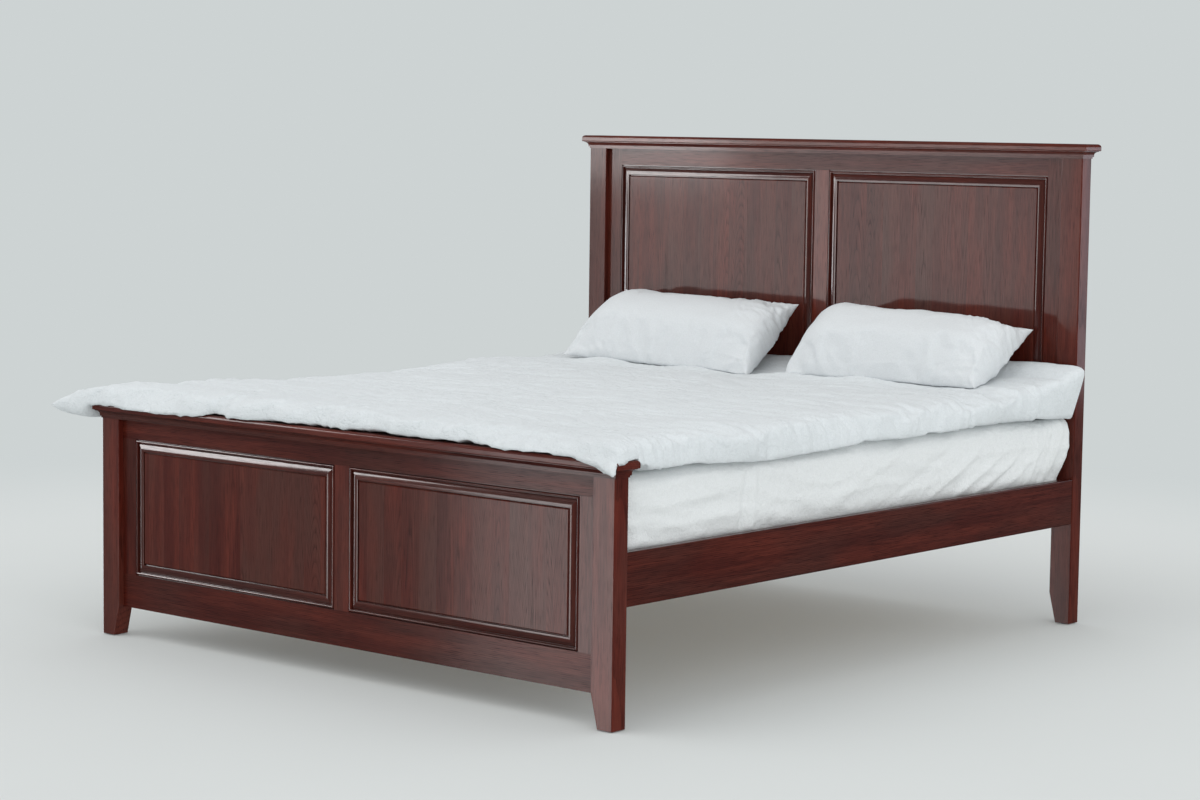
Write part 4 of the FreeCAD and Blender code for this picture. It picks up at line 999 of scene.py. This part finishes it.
def make_duvet():
    upper, lower = duvet_form()
    points = keep_clear(shell_points(upper, lower))
    piece = new_piece("duvet_quilt", points, shell_faces(DUVET_COLUMNS, DUVET_ROWS), duvet_cotton)
    hold = shell_hold(DUVET_COLUMNS, DUVET_ROWS, top=0.06, rim=0.9, bottom=1.0)
    settle_cloth(piece, hold, frames=16, pressure=1.1, slack=0.035, cap=0.009)
    points = subdivide(piece)
    points += normals_of(piece.data) * duvet_wrinkles(points)[:, None]
    set_points(piece.data, keep_clear(points))
    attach(piece, "duvet")
    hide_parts("duvet")
    return piece


duvet = make_duvet()
print("duvet", len(duvet.data.vertices), "points")

# %% [markdown]
# ## Pillows
#
# A pillow is two rectangles of cotton sewn together and stuffed. Its faces swell at once from the
# seam, its corners stay out as small ears, and the cloth gathers towards them. Each pillow's seam
# is laid between its four corners: two on the duvet and two against the headboard. The upper face
# bulges off that plane, and the lower one somewhat less. Where the cloth comes
# close to the duvet, its weight lays it down, so no gap shows under the front seam.

# %% Pillows
PILLOW_COLUMNS = 84
PILLOW_ROWS = 50
# front left, front right, rear left, rear right
PILLOW_CORNERS = {
    "left": ((-0.786, 0.700, 0.712), (-0.016, 0.689, 0.694),
             (-0.760, 0.988, 0.907), (-0.046, 0.988, 0.894)),
    "right": ((0.106, 0.688, 0.706), (0.808, 0.686, 0.714),
              (0.070, 0.988, 0.893), (0.810, 0.988, 0.864)),
}
PILLOW_CROWN = {"left": 0.084, "right": 0.100}
# how far in from its left, right, front and rear seam a pillow has swelled
PILLOW_REACHES = {"left": (0.14, 0.15, 0.15, 0.19), "right": (0.14, 0.15, 0.15, 0.15)}
PILLOW_BELLY = 0.060
SEAM_WAIST = 0.009
SETTLE = 0.035


def ears(share):
    """How far a seam draws in along its side: nothing at its corners, soon all of it."""
    return 1 - np.abs(2 * share - 1) ** 9


def pillow_form(side):
    u, v = even_grid(PILLOW_COLUMNS, PILLOW_ROWS, closer=0.06)
    across, along = u[..., None], v[..., None]
    corners = [np.array(corner) for corner in PILLOW_CORNERS[side]]
    seam = ((1 - across) * (1 - along) * corners[0] + across * (1 - along) * corners[1]
            + (1 - across) * along * corners[2] + across * along * corners[3])
    length = np.linalg.norm(corners[1] - corners[0])
    width = np.linalg.norm(corners[2] - corners[0])
    long_way = (corners[1] - corners[0]) / length
    up_way = (corners[2] - corners[0]) / width
    off_way = np.cross(long_way, up_way)
    centre_u, centre_v = 2 * across - 1, 2 * along - 1
    seam -= SEAM_WAIST * 1.4 * ears(along) * centre_u * long_way
    seam -= SEAM_WAIST * ears(across) * centre_v * up_way
    left, right, front, rear = PILLOW_REACHES[side]
    sides = [slow_rise(u * length, left), rounded_rise((1 - u) * length, right),
             slow_rise(v * width, front), slow_rise((1 - v) * width, rear)]
    rise = np.prod(sides, axis=0)[..., None]
    flat = seam.reshape(-1, 3)
    uneven = 1 + 0.04 * clouds(flat, 0.20, 40 + len(side)).reshape(u.shape)[..., None]
    upper = seam + off_way * PILLOW_CROWN[side] * rise * uneven
    lower = seam - off_way * PILLOW_BELLY * rise ** 0.8
    return upper, lower


def top_heights(surface, points):
    """The height of a piece's upper side under or over each point, by casting rays down."""
    heights = np.full(len(points), -1.0)
    for i, point in enumerate(points):
        hit, place, _, _ = surface.ray_cast(Vector((point[0], point[1], 2.0)), Vector((0, 0, -1)))
        if hit:
            heights[i] = place.z
    return heights


def pillow_wrinkles(points, side):
    """Arcs round the pillow's rear right ear, gathers at its right end, faint folds elsewhere."""
    front_right, rear_right = PILLOW_CORNERS[side][1], PILLOW_CORNERS[side][3]
    share = np.clip((points[:, 1] - front_right[1]) / (rear_right[1] - front_right[1]), 0, 1)
    from_end = front_right[0] + share * (rear_right[0] - front_right[0]) - points[:, 0]
    near_end = 1 - smooth_step(0.03, 0.20, from_end)
    off_ear = points - np.array(rear_right)
    reach = np.linalg.norm(off_ear * np.array([1, 0.8, 0.8]), axis=1)
    rings = np.stack([reach, points[:, 1], 0 * reach], -1)
    beside_ear = smooth_step(0.03, 0.07, reach) * (1 - smooth_step(0.16, 0.27, reach))
    height = 0.0019 * beside_ear * folds(rings, (0.021, 0.16, 1), 53)
    height += 0.0016 * near_end * smooth_step(0.02, 0.06, reach) * folds(points, (0.12, 0.03, 0.03), 51)
    return height + 0.0009 * folds(points, (0.16, 0.07, 0.07), 52)


def make_pillow(side):
    upper, lower = pillow_form(side)
    faces = shell_faces(PILLOW_COLUMNS, PILLOW_ROWS)
    piece = new_piece(f"pillow_{side}_cushion", shell_points(upper, lower), faces, pillow_cotton)
    hold = shell_hold(PILLOW_COLUMNS, PILLOW_ROWS, top=0.04, rim=0.5, bottom=0.3)
    settle_cloth(piece, hold, frames=16, pressure=1.5, slack=0.03, cap=0.008, bending=0.15)
    points = subdivide(piece)
    points += normals_of(piece.data) * pillow_wrinkles(points, side)[:, None]
    bed = top_heights(duvet, points) + CLEAR
    gap = np.maximum(points[:, 2] - bed, 0)
    points[:, 2] = bed + gap * smooth_step(0, SETTLE, gap)
    points[:, 1] = np.minimum(points[:, 1], HEAD_FRONT - CLEAR)
    set_points(piece.data, points)
    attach(piece, f"pillow_{side}")
    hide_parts(f"pillow_{side}")
    return piece


pillows = [make_pillow("left"), make_pillow("right")]
print("pillows", [len(p.data.vertices) for p in pillows])

# %% [markdown]
# ## Mattress in its fitted sheet
#
# A sprung mattress has flat sides and rounded edges, and a fitted sheet is pulled over it by
# elastic at its lower edge. The pull leaves long drag lines that start at the corners, and upright
# puckers where the sheet has too much cloth, most of all at the head end, where it stands off the
# mattress. The form is a box whose points are drawn onto rounded edges, and the folds are added
# along short lines listed one by one, because their places follow from the corners.

# %% Mattress
MATTRESS_STEP = 0.015
MATTRESS_ROUND = 0.045
HEAD_ROUND = 0.026
HEAD_SLACK = 0.027
SHEET_INSET = np.array([0.004, 0.004, 0.002])
SIDE_BELLY = 0.004
SKIN = 0.02
MOST_LOW = np.array([0.032, 0.004, 0])
MOST_HIGH = np.array([0.032, 0.008, 0])
SIDE_CREASES = [
    # along the right side: start (y, z), end (y, z), width, height
    ((-0.93, 0.52), (-0.55, 0.54), 0.012, 0.0050), ((-0.98, 0.57), (-0.62, 0.59), 0.010, 0.0045),
    ((-0.90, 0.47), (-0.48, 0.48), 0.011, 0.0040), ((-0.53, 0.42), (-0.50, 0.60), 0.010, -0.0080),
    ((-0.49, 0.42), (-0.47, 0.60), 0.012, 0.0050), ((0.30, 0.43), (0.62, 0.58), 0.011, 0.0055),
    ((0.42, 0.42), (0.70, 0.54), 0.009, 0.0050), ((0.52, 0.42), (0.78, 0.52), 0.008, 0.0050),
    ((0.60, 0.42), (0.84, 0.55), 0.008, -0.0050), ((0.68, 0.42), (0.86, 0.52), 0.008, 0.0050),
    ((0.10, 0.44), (0.52, 0.60), 0.012, -0.0040), ((-0.20, 0.45), (0.25, 0.60), 0.016, 0.0040),
    ((0.80, 0.42), (0.90, 0.60), 0.008, 0.0070), ((0.86, 0.42), (0.93, 0.60), 0.008, -0.0060),
    ((0.90, 0.42), (0.955, 0.60), 0.008, 0.0070), ((0.94, 0.42), (0.975, 0.60), 0.007, -0.0050),
]


def box_shell(low, high, step):
    """The surface of a box as a grid of small quads, with shared edges."""
    counts = [max(2, round((high[i] - low[i]) / step)) for i in range(3)]
    index, points, faces = {}, [], []

    def corner(cell):
        if cell not in index:
            index[cell] = len(points)
            points.append([low[i] + (high[i] - low[i]) * cell[i] / counts[i] for i in range(3)])
        return index[cell]

    for axis in range(3):
        a, b = [i for i in range(3) if i != axis]
        for level in (0, counts[axis]):
            outward = (level > 0) == (axis != 1)
            for i in range(counts[a]):
                for j in range(counts[b]):
                    quad = []
                    for da, db in ((0, 0), (1, 0), (1, 1), (0, 1)):
                        cell = [0, 0, 0]
                        cell[axis], cell[a], cell[b] = level, i + da, j + db
                        quad.append(corner(tuple(cell)))
                    faces.append(quad if outward else quad[::-1])
    return np.array(points), faces


def edge_round(points):
    """The radius of the mattress's edges near each point: smaller at its head end."""
    share = smooth_step(0.86, 0.96, points[:, 1:2])
    return MATTRESS_ROUND + share * (HEAD_ROUND - MATTRESS_ROUND)


def round_box(points, low, high, radius):
    """Draws the points of a box onto edges of that radius; returns them and their outward ways."""
    core = np.clip(points, low + radius, high - radius)
    way = points - core
    way = way / np.maximum(np.linalg.norm(way, axis=1, keepdims=True), 1e-9)
    return core + way * radius, way


def crease(along, height, start, end, width):
    """1 on the line from start to end, falling to 0 at its ends and beside it."""
    line = np.array(end) - np.array(start)
    length = np.linalg.norm(line)
    offset = np.stack([along, height], -1) - np.array(start)
    share = offset @ line / length ** 2
    beside = (offset[:, 0] * line[1] - offset[:, 1] * line[0]) / length
    fade = np.clip(share * 4 + 0.4, 0, 1) * np.clip((1 - share) * 3 + 0.2, 0, 1)
    return fade * np.exp(-(beside / width) ** 2)


def sheet_folds(points, way):
    """How far the sheet stands off the mattress's sides, as lengths along its outward ways."""
    x, y, z = points.T
    height = np.zeros(len(points))
    for start, end, width, rise in SIDE_CREASES:
        height += crease(y, z, start, end, width) * rise
    near_head = smooth_step(0.66, 0.95, y)
    belly = np.clip(1 - ((z - 0.550) / 0.115) ** 2, 0, 1)
    height += HEAD_SLACK * smooth_step(0.80, 0.98, y) * belly
    height += 0.0062 * near_head * folds(points, (0.5, 0.034, 0.34), 61)
    sideways = np.linalg.norm(way[:, :2], axis=1) ** 2
    height += 0.0020 * folds(points, (0.5, 0.22, 0.050), 62)
    height += 0.0008 * folds(points, (0.5, 0.06, 0.03), 63)
    return height * sideways


def make_mattress():
    low = np.array(MATTRESS_LOW) + SHEET_INSET
    high = np.array(MATTRESS_HIGH) - SHEET_INSET
    points, faces = box_shell(low, high, MATTRESS_STEP)
    points, way = round_box(points, low, high, edge_round(points))
    middle = (low[2] + high[2]) / 2
    belly = np.clip(1 - ((points[:, 2] - middle) / 0.10) ** 2, 0, 1)
    points += way * (SIDE_BELLY * belly * np.linalg.norm(way[:, :2], axis=1))[:, None]
    piece = new_piece("mattress_sheet", points, faces, sheet_cotton)
    hold = np.where(points[:, 2] < low[2] + SKIN, 1.0, 0.08)
    settle_cloth(piece, hold, frames=10, pressure=0.8, slack=0.02, cap=0.005)
    points = subdivide(piece)
    _, way = round_box(points, low - SKIN, high + SKIN, edge_round(points) + SKIN)
    points += way * sheet_folds(points, way)[:, None]
    points = np.clip(points, np.array(MATTRESS_LOW) - MOST_LOW, np.array(MATTRESS_HIGH) + MOST_HIGH)
    set_points(piece.data, points)
    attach(piece, "mattress")
    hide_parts("mattress")
    return piece


mattress = make_mattress()
print("mattress", len(mattress.data.vertices), "points")

# %% [markdown]
# ## Sizes
#
# Cloth may stand a little way out of the plain solids that it stands for. So the box round all
# that shows is printed.

# %% Print the sizes
low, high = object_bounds()
print("visual box", [round(v, 3) for v in low], [round(v, 3) for v in high])
